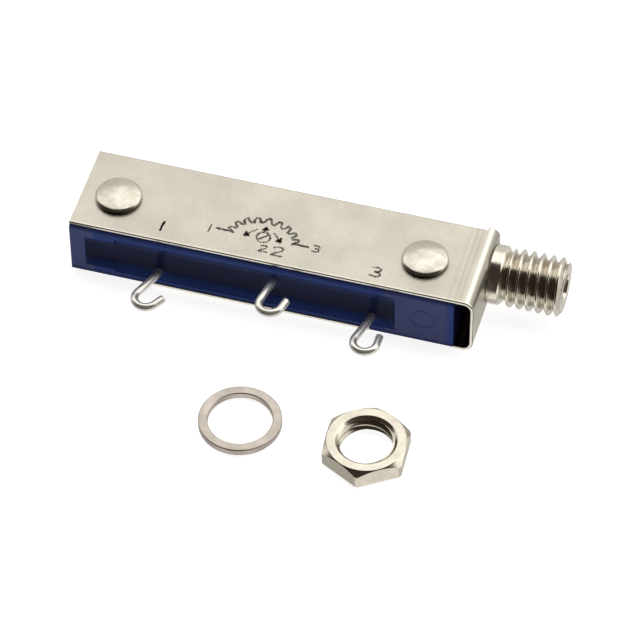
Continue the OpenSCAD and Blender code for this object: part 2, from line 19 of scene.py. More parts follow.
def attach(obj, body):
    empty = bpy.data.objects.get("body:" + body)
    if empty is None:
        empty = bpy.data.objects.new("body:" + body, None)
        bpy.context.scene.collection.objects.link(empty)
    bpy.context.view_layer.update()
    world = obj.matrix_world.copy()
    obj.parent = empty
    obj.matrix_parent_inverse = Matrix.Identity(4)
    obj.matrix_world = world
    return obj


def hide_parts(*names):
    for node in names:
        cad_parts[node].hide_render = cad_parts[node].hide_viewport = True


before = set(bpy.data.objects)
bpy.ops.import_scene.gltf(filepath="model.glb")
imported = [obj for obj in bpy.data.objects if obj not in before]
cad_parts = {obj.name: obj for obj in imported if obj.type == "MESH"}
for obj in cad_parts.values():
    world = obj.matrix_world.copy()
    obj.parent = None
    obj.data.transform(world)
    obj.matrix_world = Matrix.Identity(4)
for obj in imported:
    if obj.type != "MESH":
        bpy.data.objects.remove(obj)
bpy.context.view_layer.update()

LOG = logging.getLogger("trimmer")
MM = 0.001
TINY = 1e-6
FULL_TURN = 2 * math.pi
CASE = "case"
# Name of the points' share of painted shade: dark edges and hollows where shade falls.
PAINTED_SHADE = "painted_shade"
FINISH_MARK = "_finish"
THREAD_PITCH = 0.794
FLANK_EASE = 0.45

Colour = tuple[float, float, float]
Span = tuple[float, float]
Socket = bpy.types.NodeSocket


def empty_tree(owner: bpy.types.Material | bpy.types.World) -> bpy.types.NodeTree:
    """Turns on a material's or a world's nodes and clears them.

    Args:
        owner: The material or the world.

    Returns:
        Its empty node tree.
    """
    owner.use_nodes = True
    owner.node_tree.nodes.clear()
    return owner.node_tree


class Graph:
    """A material's node tree, with one short call for each kind of node that is used here."""

    def __init__(self, name: str) -> None:
        """Starts a material with one shader on Object coordinates.

        Args:
            name: The material's name.
        """
        self.material = bpy.data.materials.new(name + FINISH_MARK)
        self.tree = empty_tree(self.material)
        output = self.tree.nodes.new("ShaderNodeOutputMaterial")
        self.shader = self.tree.nodes.new("ShaderNodeBsdfPrincipled")
        self.join(self.shader.outputs["BSDF"], output.inputs["Surface"])
        self.place = self.tree.nodes.new("ShaderNodeTexCoord").outputs["Object"]

    def join(self, source: Socket, target: Socket) -> None:
        """Links two sockets."""
        self.tree.links.new(source, target)

    def noise(self, size_mm: float, detail: float, stretch: Sequence[float] = (1, 1, 1)) -> Socket:
        """Cloudy noise on the object's own coordinates.

        Args:
            size_mm: Rough size of one cloud.
            detail: Octaves of finer noise.
            stretch: How much finer the pattern is along X, Y and Z.

        Returns:
            The noise, around 0.5.
        """
        mapping = self.tree.nodes.new("ShaderNodeMapping")
        mapping.inputs["Scale"].default_value = stretch
        self.join(self.place, mapping.inputs["Vector"])
        noise = self.tree.nodes.new("ShaderNodeTexNoise")
        noise.inputs["Scale"].default_value = 1 / (size_mm * MM)
        noise.inputs["Detail"].default_value = detail
        self.join(mapping.outputs["Vector"], noise.inputs["Vector"])
        return noise.outputs["Fac"]

    def spread(self, source: Socket, low: float, high: float, start: float = 0.3, end: float = 0.7) -> Socket:
        """Maps a value from start..end to low..high, clamped.

        Args:
            source: The value, a noise unless start and end say otherwise.
            low: What start becomes.
            high: What end becomes.
            start: The lower end of the value's range.
            end: The upper end of the value's range.

        Returns:
            The mapped value.
        """
        node = self.tree.nodes.new("ShaderNodeMapRange")
        for socket, value in zip(("From Min", "From Max", "To Min", "To Max"), (start, end, low, high)):
            node.inputs[socket].default_value = value
        self.join(source, node.inputs["Value"])
        return node.outputs["Result"]

    def ramp(self, axis: str, span_mm: Span, before: float = 0.0, after: float = 1.0) -> Socket:
        """A value that changes over a span along one of the object's own axes and is level outside it.

        Args:
            axis: "X", "Y" or "Z".
            span_mm: The two ends of the span.
            before: The value before the span.
            after: The value after the span.

        Returns:
            The value.
        """
        parts = self.tree.nodes.new("ShaderNodeSeparateXYZ")
        self.join(self.place, parts.inputs["Vector"])
        return self.spread(parts.outputs[axis], before, after, span_mm[0] * MM, span_mm[1] * MM)

    def band(self, axis: str, places_mm: tuple[float, float, float, float]) -> Socket:
        """A band across one axis, as a share from 0 to 1.

        Args:
            axis: "X", "Y" or "Z".
            places_mm: Where the band starts to come in, is full, starts to go and is gone.

        Returns:
            The share.
        """
        return self.sums("MULTIPLY", self.ramp(axis, places_mm[:2]), self.ramp(axis, places_mm[2:], 1.0, 0.0))

    def painted(self, name: str) -> Socket:
        """A value stored on the mesh's points.

        Args:
            name: The attribute's name.

        Returns:
            The value, 0 where the mesh has no such attribute.
        """
        node = self.tree.nodes.new("ShaderNodeAttribute")
        node.attribute_name = name
        return node.outputs["Fac"]

    def blend(self, share: Socket, first: Colour | Socket, second: Colour | Socket) -> Socket:
        """Mixes two colours.

        Args:
            share: How much of the second colour there is, from 0 to 1.
            first: The colour at 0.
            second: The colour at 1.

        Returns:
            The mixed colour.
        """
        node = self.tree.nodes.new("ShaderNodeMix")
        node.data_type = "RGBA"
        factor, colour_a, colour_b, result = node.inputs[0], node.inputs[6], node.inputs[7], node.outputs[2]
        self.join(share, factor)
        for socket, value in ((colour_a, first), (colour_b, second)):
            if isinstance(value, tuple):
                socket.default_value = (*value, 1.0)
            else:
                self.join(value, socket)
        return result

    def sums(self, operation: str, first: Socket, second: Socket) -> Socket:
        """One step of arithmetic on two values.

        Args:
            operation: "ADD", "MULTIPLY" or "MAXIMUM".
            first: One value.
            second: The other value.

        Returns:
            The result.
        """
        node = self.tree.nodes.new("ShaderNodeMath")
        node.operation = operation
        self.join(first, node.inputs[0])
        self.join(second, node.inputs[1])
        return node.outputs[0]

    def relief(self, height: Socket, depth_mm: float, below: Socket | None = None) -> Socket:
        """Bends the normal by a height.

        Args:
            height: A value from 0 to 1.
            depth_mm: Depth that a height of 1 stands for.
            below: A relief that this one is laid over.

        Returns:
            The bent normal.
        """
        node = self.tree.nodes.new("ShaderNodeBump")
        node.inputs["Distance"].default_value = depth_mm * MM
        self.join(height, node.inputs["Height"])
        if below is not None:
            self.join(below, node.inputs["Normal"])
        return node.outputs["Normal"]

    def set(self, **values: float) -> None:
        """Sets sockets of the shader that are the same all over; an underscore stands for a space."""
        for name, value in values.items():
            self.shader.inputs[name.replace("_", " ")].default_value = value

    def feed(self, socket: str, source: Socket) -> None:
        """Links a pattern into one of the shader's sockets."""
        self.join(source, self.shader.inputs[socket])


@dataclass(frozen=True)
class PlatedMetal:
    """Plated metal: cloudy tint, uneven gloss, fine grain, shallow dents, and painted shade, dark brown, on
    marked points.
    """

    name: str
    bright: Colour
    dull: Colour
    gloss: Span = (0.2, 0.3)
    cloud_mm: float = 2.0
    grain_mm: float = 0.08
    grain_depth_mm: float = 0.0008
    dent_mm: float = 0.7
    dent_depth_mm: float = 0.004
    metallic: float = 1.0
    hollow_shade: Colour = (0.24, 0.19, 0.13)
    hollow_shade_cover: Span = (0.6, 1.0)

    def material(self) -> bpy.types.Material:
        """Builds the node material.

        Returns:
            The material.
        """
        g = Graph(self.name)
        cloud = g.noise(self.cloud_mm, detail=4)
        grain = g.noise(self.grain_mm, detail=2)
        metal = g.blend(g.spread(cloud, 0, 1), self.bright, self.dull)
        # Marked points, the thread roots and the nut's bore, are painted dark brown as shade.
        shade_share = g.sums("MULTIPLY", g.painted(PAINTED_SHADE), g.spread(cloud, *self.hollow_shade_cover))
        g.feed("Base Color", g.blend(shade_share, metal, self.hollow_shade))
        g.feed("Roughness", g.spread(g.sums("ADD", cloud, grain), *self.gloss, start=0.8, end=1.2))
        dents = g.relief(g.noise(self.dent_mm, detail=2), self.dent_depth_mm)
        g.feed("Normal", g.relief(grain, self.grain_depth_mm, dents))
        g.set(Metallic=self.metallic)
        return g.material


@dataclass(frozen=True)
class RivetMetal:
    """Plated rivet: a hammered, mottled dome and a side that is painted dull brown as shade."""

    name: str = "rivet_nickel"
    bright: Colour = (0.82, 0.785, 0.70)
    dull: Colour = (0.57, 0.54, 0.46)
    # The head's steep side is painted dark brown as shade.
    side: Colour = (0.10, 0.085, 0.06)
    side_shade_mm: Span = (2.9, 3.06)
    side_shade_cover: Span = (0.8, 1.0)
    gloss: Span = (0.21, 0.33)
    cloud_mm: float = 0.9
    grain_mm: float = 0.09
    grain_depth_mm: float = 0.0012
    dent_mm: float = 0.55
    dent_depth_mm: float = 0.012

    def material(self) -> bpy.types.Material:
        """Builds the node material.

        Returns:
            The material.
        """
        g = Graph(self.name)
        cloud = g.noise(self.cloud_mm, detail=4)
        grain = g.noise(self.grain_mm, detail=2)
        mottle = g.spread(g.sums("ADD", cloud, grain), 0, 1, start=0.75, end=1.2)
        dome = g.blend(mottle, self.bright, self.dull)
        foot = g.ramp("Z", self.side_shade_mm, before=1, after=0)
        side_shade = g.sums("MULTIPLY", foot, g.spread(cloud, *self.side_shade_cover))
        g.feed("Base Color", g.blend(side_shade, dome, self.side))
        g.feed("Roughness", g.spread(cloud, *self.gloss))
        dents = g.relief(g.noise(self.dent_mm, detail=2), self.dent_depth_mm)
        g.feed("Normal", g.relief(grain, self.grain_depth_mm, dents))
        g.set(Metallic=1.0)
        return g.material


@dataclass(frozen=True)
class StrapMetal:
    """Plated sheet: fine grain, die lines before the bend, a painted highlight on the bend and the front
    edge, where it is also less rough, and painted shade on the corners.

    The bend turns from painted highlight to painted shade towards the end wall.
    """

    name: str = "strap_nickel"
    bright: Colour = (0.65, 0.62, 0.545)
    dull: Colour = (0.595, 0.565, 0.495)
    edge: Colour = (0.055, 0.048, 0.038)
    edge_cover: Span = (0.55, 1.0)
    gloss: Span = (0.36, 0.46)
    painted_highlight: Colour = (0.80, 0.77, 0.70)
    burnished_gloss: float = 0.6
    bend_mm: tuple[float, float, float, float] = (-0.85, -0.68, -0.54, -0.40)
    shaded: Colour = (0.40, 0.38, 0.33)
    shaded_mm: tuple[float, float, float, float] = (-0.50, -0.36, -0.10, -0.03)
    line: Colour = (0.36, 0.32, 0.25)
    line_cover: float = 0.35
    lines_mm: tuple[float, float, float, float] = (-2.3, -2.0, -1.1, -0.9)
    line_stretch: tuple[float, float, float] = (1.0, 0.01, 0.01)
    line_depth_mm: float = 0.03
    cut_mm: Span = (-5.96, -5.93)
    rolled_mm: Span = (-5.84, -5.72)
    stripe_mm: float = 0.35
    groove_mm: float = 0.3
    cloud_mm: float = 3.0
    speck_mm: float = 0.16
    patch_mm: float = 1.6
    dent_mm: float = 2.5
    dent_depth_mm: float = 0.003
    grain_mm: float = 0.07
    grain_depth_mm: float = 0.0012

    def material(self) -> bpy.types.Material:
        """Builds the node material.

        Returns:
            The material.
        """
        g = Graph(self.name)
        cloud = g.noise(self.cloud_mm, detail=4)
        grain = g.noise(self.grain_mm, detail=2)
        speck = g.noise(self.speck_mm, detail=1, stretch=(0.6, 1, 1))
        mottle = g.spread(g.sums("ADD", cloud, speck), 0, 1, start=0.75, end=1.25)
        sheet = g.blend(mottle, self.bright, self.dull)
        # The bend is painted brighter as a highlight, and darker as painted shade towards the end wall.
        bend = g.band("X", self.bend_mm)
        sheet = g.blend(bend, sheet, self.painted_highlight)
        sheet = g.blend(g.band("X", self.shaded_mm), sheet, self.shaded)
        lined = g.band("X", self.lines_mm)
        stripes = g.noise(self.stripe_mm, detail=1, stretch=self.line_stretch)
        stripe = g.spread(stripes, 0, self.line_cover, start=0.42, end=0.6)
        sheet = g.blend(g.sums("MULTIPLY", stripe, lined), sheet, self.line)
        # The rolled front edge is painted brighter as a highlight.
        sheet = g.blend(g.ramp("Y", self.rolled_mm, before=1, after=0), sheet, self.painted_highlight)
        # Marked points are painted dark as shade: rounded corners, the cut face's left end, the inside past
        # the housing.
        patchy = g.spread(g.noise(self.patch_mm, detail=2, stretch=(0.5, 1, 1)), *self.edge_cover)
        g.feed("Base Color", g.blend(g.sums("MULTIPLY", g.painted(PAINTED_SHADE), patchy), sheet, self.edge))
        gloss = g.spread(g.sums("ADD", cloud, grain), *self.gloss, start=0.8, end=1.2)
        rubbed = g.sums("ADD", bend, g.ramp("Y", self.cut_mm, before=1, after=0))
        rubbed = g.spread(rubbed, 1.0, self.burnished_gloss, start=0, end=1)
        g.feed("Roughness", g.sums("MULTIPLY", gloss, rubbed))
        grooves = g.noise(self.groove_mm, detail=2, stretch=self.line_stretch)
        lines = g.relief(g.sums("MULTIPLY", grooves, lined), self.line_depth_mm)
        dents = g.relief(g.noise(self.dent_mm, detail=2), self.dent_depth_mm, lines)
        g.feed("Normal", g.relief(grain, self.grain_depth_mm, dents))
        g.set(Metallic=1.0)
        return g.material


@dataclass(frozen=True)
class RimmedPlastic:
    """Blue moulding: its front hazy on the end blocks, clear round the well, with painted shade at the
    borders.

    Behind the front it is a plain deep blue.
    """

    name: str = "blue_moulding"
    body: Colour = (0.026, 0.036, 0.135)
    face: Colour = (0.124, 0.152, 0.400)
    rim: Colour = (0.056, 0.112, 0.430)
    shaded: Colour = (0.030, 0.045, 0.170)
    shade_cover: Span = (0.75, 1.0)
    well_mm: tuple[float, float, float, float] = (-31.6, -31.2, -7.5, -7.1)
    upper_mm: Span = (1.95, 2.3)
    lower_mm: Span = (-2.35, -2.15)
    lower_shade: float = 0.6
    right_mm: Span = (-2.35, -1.9)
    front_mm: Span = (-6.0, -5.7)
    gloss: Span = (0.3, 0.42)
    flow: tuple[float, float, float] = (0.4, 1, 1)
    cloud_mm: float = 1.6
    ripple_mm: float = 2.0
    ripple_depth_mm: float = 0.008
    grain_mm: float = 0.05
    grain_depth_mm: float = 0.0006
    refraction: float = 1.18

    def material(self) -> bpy.types.Material:
        """Builds the node material.

        Returns:
            The material.
        """
        g = Graph(self.name)
        cloud = g.noise(self.cloud_mm, detail=3, stretch=self.flow)
        clear = g.sums("MAXIMUM", g.band("X", self.well_mm), g.ramp("X", self.right_mm))
        colour = g.blend(clear, self.face, self.rim)
        # Painted shade: darker at the top, under the strap, and towards the bottom.
        below = g.ramp("Z", self.lower_mm, before=self.lower_shade, after=0)
        shade = g.sums("MAXIMUM", g.ramp("Z", self.upper_mm), below)
        shade = g.sums("MULTIPLY", shade, g.spread(cloud, *self.shade_cover))
        colour = g.blend(shade, colour, self.shaded)
        g.feed("Base Color", g.blend(g.ramp("Y", self.front_mm), colour, self.body))
        g.feed("Roughness", g.spread(cloud, *self.gloss))
        ripple = g.relief(g.noise(self.ripple_mm, detail=1, stretch=self.flow), self.ripple_depth_mm)
        g.feed("Normal", g.relief(g.noise(self.grain_mm, detail=2), self.grain_depth_mm, ripple))
        g.set(IOR=self.refraction)
        return g.material


@dataclass(frozen=True)
class WellResin:
    """Dark potting resin: bluer towards both rims, almost black between them, with a wet gloss."""

    name: str = "potting_resin"
    rim: Colour = (0.050, 0.095, 0.370)
    upper: Colour = (0.025, 0.038, 0.125)
    lower: Colour = (0.014, 0.020, 0.072)
    span_mm: Span = (-1.2, 1.0)
    upper_cover: Span = (0.6, 1.1)
    lower_rim_mm: Span = (-2.05, -1.1)
    upper_rim_mm: Span = (0.6, 1.75)
    gloss: Span = (0.10, 0.18)
    flow: tuple[float, float, float] = (0.35, 1, 1)
    cloud_mm: float = 1.8
    ripple_mm: float = 1.1
    ripple_depth_mm: float = 0.02
    grain_mm: float = 0.04
    grain_depth_mm: float = 0.0003
    refraction: float = 1.12

    def material(self) -> bpy.types.Material:
        """Builds the node material.

        Returns:
            The material.
        """
        g = Graph(self.name)
        cloud = g.noise(self.cloud_mm, detail=3, stretch=self.flow)
        share = g.sums("MULTIPLY", g.ramp("Z", self.span_mm), g.spread(cloud, *self.upper_cover))
        deep = g.blend(share, self.lower, self.upper)
        below = g.ramp("Z", self.lower_rim_mm, before=1, after=0)
        thin = g.sums("MAXIMUM", below, g.ramp("Z", self.upper_rim_mm))
        g.feed("Base Color", g.blend(thin, deep, self.rim))
        g.feed("Roughness", g.spread(cloud, *self.gloss))
        ripple = g.relief(g.noise(self.ripple_mm, detail=1, stretch=self.flow), self.ripple_depth_mm)
        g.feed("Normal", g.relief(g.noise(self.grain_mm, detail=2), self.grain_depth_mm, ripple))
        g.set(IOR=self.refraction)
        return g.material


@dataclass(frozen=True)
class MouldedPlastic:
    """Plastic, rubber, ceramic, fired film or ink: slight tint changes, a fine grain and a soft ripple."""

    name: str
    body: Colour
    tint: Colour
    gloss: Span = (0.3, 0.4)
    cloud_mm: float = 1.5
    ripple_mm: float = 1.2
    ripple_depth_mm: float = 0.01
    grain_mm: float = 0.05
    grain_depth_mm: float = 0.0006

    def material(self) -> bpy.types.Material:
        """Builds the node material.

        Returns:
            The material.
        """
        g = Graph(self.name)
        cloud = g.noise(self.cloud_mm, detail=3)
        g.feed("Base Color", g.blend(g.spread(cloud, 0, 1), self.body, self.tint))
        g.feed("Roughness", g.spread(cloud, *self.gloss))
        ripple = g.relief(g.noise(self.ripple_mm, detail=1), self.ripple_depth_mm)
        g.feed("Normal", g.relief(g.noise(self.grain_mm, detail=2), self.grain_depth_mm, ripple))
        return g.material


class Finish(Enum):
    """The finishes of this product."""

    STRAP = StrapMetal()
    RIVET = RivetMetal()
    BUSHING = PlatedMetal("bushing_nickel", (0.88, 0.85, 0.77), (0.74, 0.70, 0.61), (0.14, 0.24),
                          cloud_mm=0.9, grain_mm=0.05, grain_depth_mm=0.001, dent_mm=0.5, dent_depth_mm=0.003)
    WIRE = PlatedMetal("tinned_wire", (0.94, 0.925, 0.88), (0.84, 0.82, 0.77), (0.2, 0.32), cloud_mm=4.0,
                       grain_mm=0.05, grain_depth_mm=0.0004, dent_mm=0.5, dent_depth_mm=0.002, metallic=0.75)
    WASHER = PlatedMetal("washer_nickel", (0.62, 0.565, 0.505), (0.50, 0.455, 0.405), (0.32, 0.42),
                         cloud_mm=1.2, grain_mm=0.06, grain_depth_mm=0.001, dent_mm=0.8, dent_depth_mm=0.003)
    NUT = PlatedMetal("nut_nickel", (0.76, 0.72, 0.62), (0.64, 0.60, 0.51), (0.18, 0.3), cloud_mm=1.0,
                      grain_mm=0.06, grain_depth_mm=0.001, dent_depth_mm=0.003)
    SCREW = PlatedMetal("screw_steel", (0.66, 0.64, 0.60), (0.52, 0.50, 0.46), (0.2, 0.34), cloud_mm=0.8)
    SPRING = PlatedMetal("wiper_alloy", (0.83, 0.66, 0.40), (0.72, 0.54, 0.30), cloud_mm=0.6)
    SILVER = PlatedMetal("silver_film", (0.78, 0.78, 0.75), (0.62, 0.61, 0.58), (0.35, 0.5), cloud_mm=0.5)
    SOLDER = PlatedMetal("solder", (0.80, 0.80, 0.79), (0.66, 0.66, 0.66), (0.14, 0.3), cloud_mm=0.3)
    BLUE = RimmedPlastic()
    RESIN = WellResin()
    RUBBER = MouldedPlastic("seal_rubber", (0.02, 0.02, 0.02), (0.03, 0.03, 0.03), (0.5, 0.65))
    IVORY = MouldedPlastic("carriage_plastic", (0.80, 0.77, 0.68), (0.72, 0.69, 0.60), (0.4, 0.5))
    CERAMIC = MouldedPlastic("white_ceramic", (0.86, 0.85, 0.80), (0.80, 0.78, 0.74), (0.5, 0.62), 0.6)
    CERMET = MouldedPlastic("fired_film", (0.035, 0.032, 0.030), (0.055, 0.05, 0.045), (0.45, 0.6), 0.3)
    INK = MouldedPlastic("marking_ink", (0.10, 0.092, 0.078), (0.18, 0.165, 0.14), (0.5, 0.65), 0.25)

    def material(self) -> bpy.types.Material:
        """The finish's material, built the first time it is asked for."""
        found = bpy.data.materials.get(self.value.name + FINISH_MARK)
        return found or self.value.material()


@dataclass
class Patch:
    """Points, the faces between them and, where it is known, how much painted shade each point has."""

    points: np.ndarray
    quads: np.ndarray = field(default_factory=lambda: np.zeros((0, 4), int))
    triangles: np.ndarray = field(default_factory=lambda: np.zeros((0, 3), int))
    shade_amount: np.ndarray | None = None

    def room(self) -> float:
        """The room inside a closed surface: a sixth of the sum of a . (b x c) over its triangles a, b, c.

        Returns:
            The volume, negative where the faces point inwards.
        """
        corners = np.vstack([self.quads[:, [0, 1, 2]], self.quads[:, [0, 2, 3]], self.triangles])
        a, b, c = (self.points[corners[:, k]] for k in range(3))
        return float(np.sum(a * np.cross(b, c))) / 6

    def outward(self) -> "Patch":
        """Turns a closed surface's faces outwards.

        Returns:
            The patch itself, or a copy with every face turned round.
        """
        if self.room() > 0:
            return self
        return Patch(self.points, self.quads[:, ::-1], self.triangles[:, ::-1], self.shade_amount)


def sheet_of(grid: np.ndarray, wrap_rows: bool = False, wrap_columns: bool = False,
             capped: bool = False) -> Patch:
    """A surface through a grid of points.

    Each face joins the points (i, j), (i + 1, j), (i + 1, j + 1) and (i, j + 1), with the index taken round
    where the grid wraps. A cap joins an end row to its own middle point.

    Args:
        grid: Points in millimetres, of shape (rows, columns, 3).
        wrap_rows: Whether the last row joins the first.
        wrap_columns: Whether the last column joins the first.
        capped: Whether the first and the last row are closed by a fan each.

    Returns:
        The surface as a patch.
    """
    rows, columns = grid.shape[:2]
    i = np.arange(rows if wrap_rows else rows - 1)[:, None]
    j = np.arange(columns if wrap_columns else columns - 1)[None, :]
    i2, j2 = (i + 1) % rows, (j + 1) % columns
    corners = [i * columns + j, i2 * columns + j, i2 * columns + j2, i * columns + j2]
    patch = Patch(grid.reshape(-1, 3), np.stack(corners, axis=-1).reshape(-1, 4))
    if capped:
        ring = np.arange(columns)
        following = (ring + 1) % columns
        last = (rows - 1) * columns
        middles = np.full((2, columns), len(patch.points)) + [[0], [1]]
        patch.points = np.vstack([patch.points, grid[0].mean(0), grid[-1].mean(0)])
        start = np.stack([middles[0], ring, following], axis=1)
        end = np.stack([last + following, last + ring, middles[1]], axis=1)
        patch.triangles = np.vstack([start, end])
    return patch


def make_piece(name: str, patch: Patch, finish: Finish, stands_for: Sequence[str] = (),
               crease_deg: float = 35.0) -> bpy.types.Object:
    """Turns a patch into a piece of the scene that rides on the case.

    Args:
        name: The piece's name.
        patch: Points in millimetres and the faces between them.
        finish: The piece's finish.
        stands_for: The solids that the piece replaces.
        crease_deg: Angle over which an edge stays sharp.

    Returns:
        The new object.
    """
    patch = patch.outward()
    mesh = bpy.data.meshes.new(name)
    loops = np.concatenate([patch.quads.ravel(), patch.triangles.ravel()]).astype(np.int32)
    sizes = np.concatenate([np.full(len(patch.quads), 4), np.full(len(patch.triangles), 3)])
    starts = np.concatenate([[0], np.cumsum(sizes)[:-1]]).astype(np.int32)
    mesh.vertices.add(len(patch.points))
    mesh.vertices.foreach_set("co", (patch.points * MM).astype(np.float32).ravel())
    mesh.loops.add(len(loops))
    mesh.loops.foreach_set("vertex_index", loops)
    mesh.polygons.add(len(sizes))
    mesh.polygons.foreach_set("loop_start", starts)
    mesh.update(calc_edges=True)
    mesh.validate()
    mesh.shade_smooth()
    mesh.set_sharp_from_angle(angle=math.radians(crease_deg))
    mesh.materials.append(finish.material())
    if patch.shade_amount is not None:
        shade_amount = mesh.attributes.new(PAINTED_SHADE, "FLOAT", "POINT")
        shade_amount.data.foreach_set("value", patch.shade_amount.astype(np.float32))
    piece = bpy.data.objects.new(name, mesh)
    bpy.context.scene.collection.objects.link(piece)
    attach(piece, CASE)
    if stands_for:
        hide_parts(*stands_for)
    LOG.info("%s: %d points, %d faces", name, len(patch.points), len(sizes))
    return piece


def arc(centre: Sequence[float], radius: float, start_deg: float, end_deg: float, steps: int) -> np.ndarray:
    """Points on a flat arc: centre plus radius times (cos a, sin a), with a from start to end."""
    a = np.radians(np.linspace(start_deg, end_deg, steps + 1))
    return np.stack([centre[0] + radius * np.cos(a), centre[1] + radius * np.sin(a)], axis=1)


def unit_tangents(path: np.ndarray) -> np.ndarray:
    """Directions of a path at its points, from the differences of the neighbours, each one unit long.

    Args:
        path: Points of the path, of shape (rows, 2).

    Returns:
        The directions, of the same shape.
    """
    tangent = np.gradient(path, axis=0)
    tangent /= np.linalg.norm(tangent, axis=1, keepdims=True)
    return tangent


def supported(profile: np.ndarray, margin: float = 0.03, closed: bool = False) -> np.ndarray:
    """Adds a point near both ends of each long stretch of a profile, so that flats stay flat when shaded.

    Args:
        profile: Points of the profile, of shape (rows, 2).
        margin: Distance of the added points from the ends of their stretch.
        closed: Whether the last point joins the first.

    Returns:
        The profile with the added points.
    """
    here = profile if closed else profile[:-1]
    step = (np.roll(profile, -1, axis=0) if closed else profile[1:]) - here
    length = np.linalg.norm(step, axis=1)
    long = length > 4 * margin
    unit = step / np.maximum(length, TINY)[:, None]
    points = np.stack([here, here + unit * margin, here + step - unit * margin], axis=1)
    kept = points[np.stack([np.ones_like(long), long, long], axis=1)]
    return kept if closed else np.vstack([kept, profile[-1:]])


def turned(profile: np.ndarray, steps: int, axis: str) -> np.ndarray:
    """Carries a profile of (radius, height) points round an axis.

    The point at angle a is (radius cos a, radius sin a, height), with Z as the axis, or the same turned so
    that the height runs along X.

    Args:
        profile: Points of the profile, of shape (rows, 2).
        steps: Number of steps round the axis.
        axis: "X" or "Z".

    Returns:
        A grid of shape (rows, steps, 3).
    """
    a = np.linspace(0, FULL_TURN, steps, endpoint=False)
    r, h = profile[:, :1], profile[:, 1:] + np.zeros(steps)
    if axis == "Z":
        return np.stack([r * np.cos(a), r * np.sin(a), h], axis=-1)
    return np.stack([h, r * np.cos(a), r * np.sin(a)], axis=-1)


def thread_height(along: np.ndarray, angle: np.ndarray, phase: float, crest: float,
                  foot: float) -> np.ndarray:
    """Height of a right-hand ridge, from 0 at the root to 1 at the crest.

    The distance to the nearest ridge is |t - round(t)| in pitches, with t = along / pitch - angle / 2 pi -
    phase. The height falls from the crest's half width to the foot's, in a straight line mixed with an eased
    one, which rounds both corners a little.

    Args:
        along: Distance along the axis.
        angle: Angle round the axis, in radians.
        phase: Shift of the ridge along the axis, in pitches.
        crest: Half width of the crest, in pitches.
        foot: Half width of the foot, in pitches.

    Returns:
        The height, of the arguments' joint shape.
    """
    turn = along / THREAD_PITCH - angle / FULL_TURN - phase
    away = np.abs(turn - np.round(turn))
    flank = np.clip((foot - away) / (foot - crest), 0, 1)
    eased = flank * flank * (3 - 2 * flank)
    return eased * FLANK_EASE + flank * (1 - FLANK_EASE)


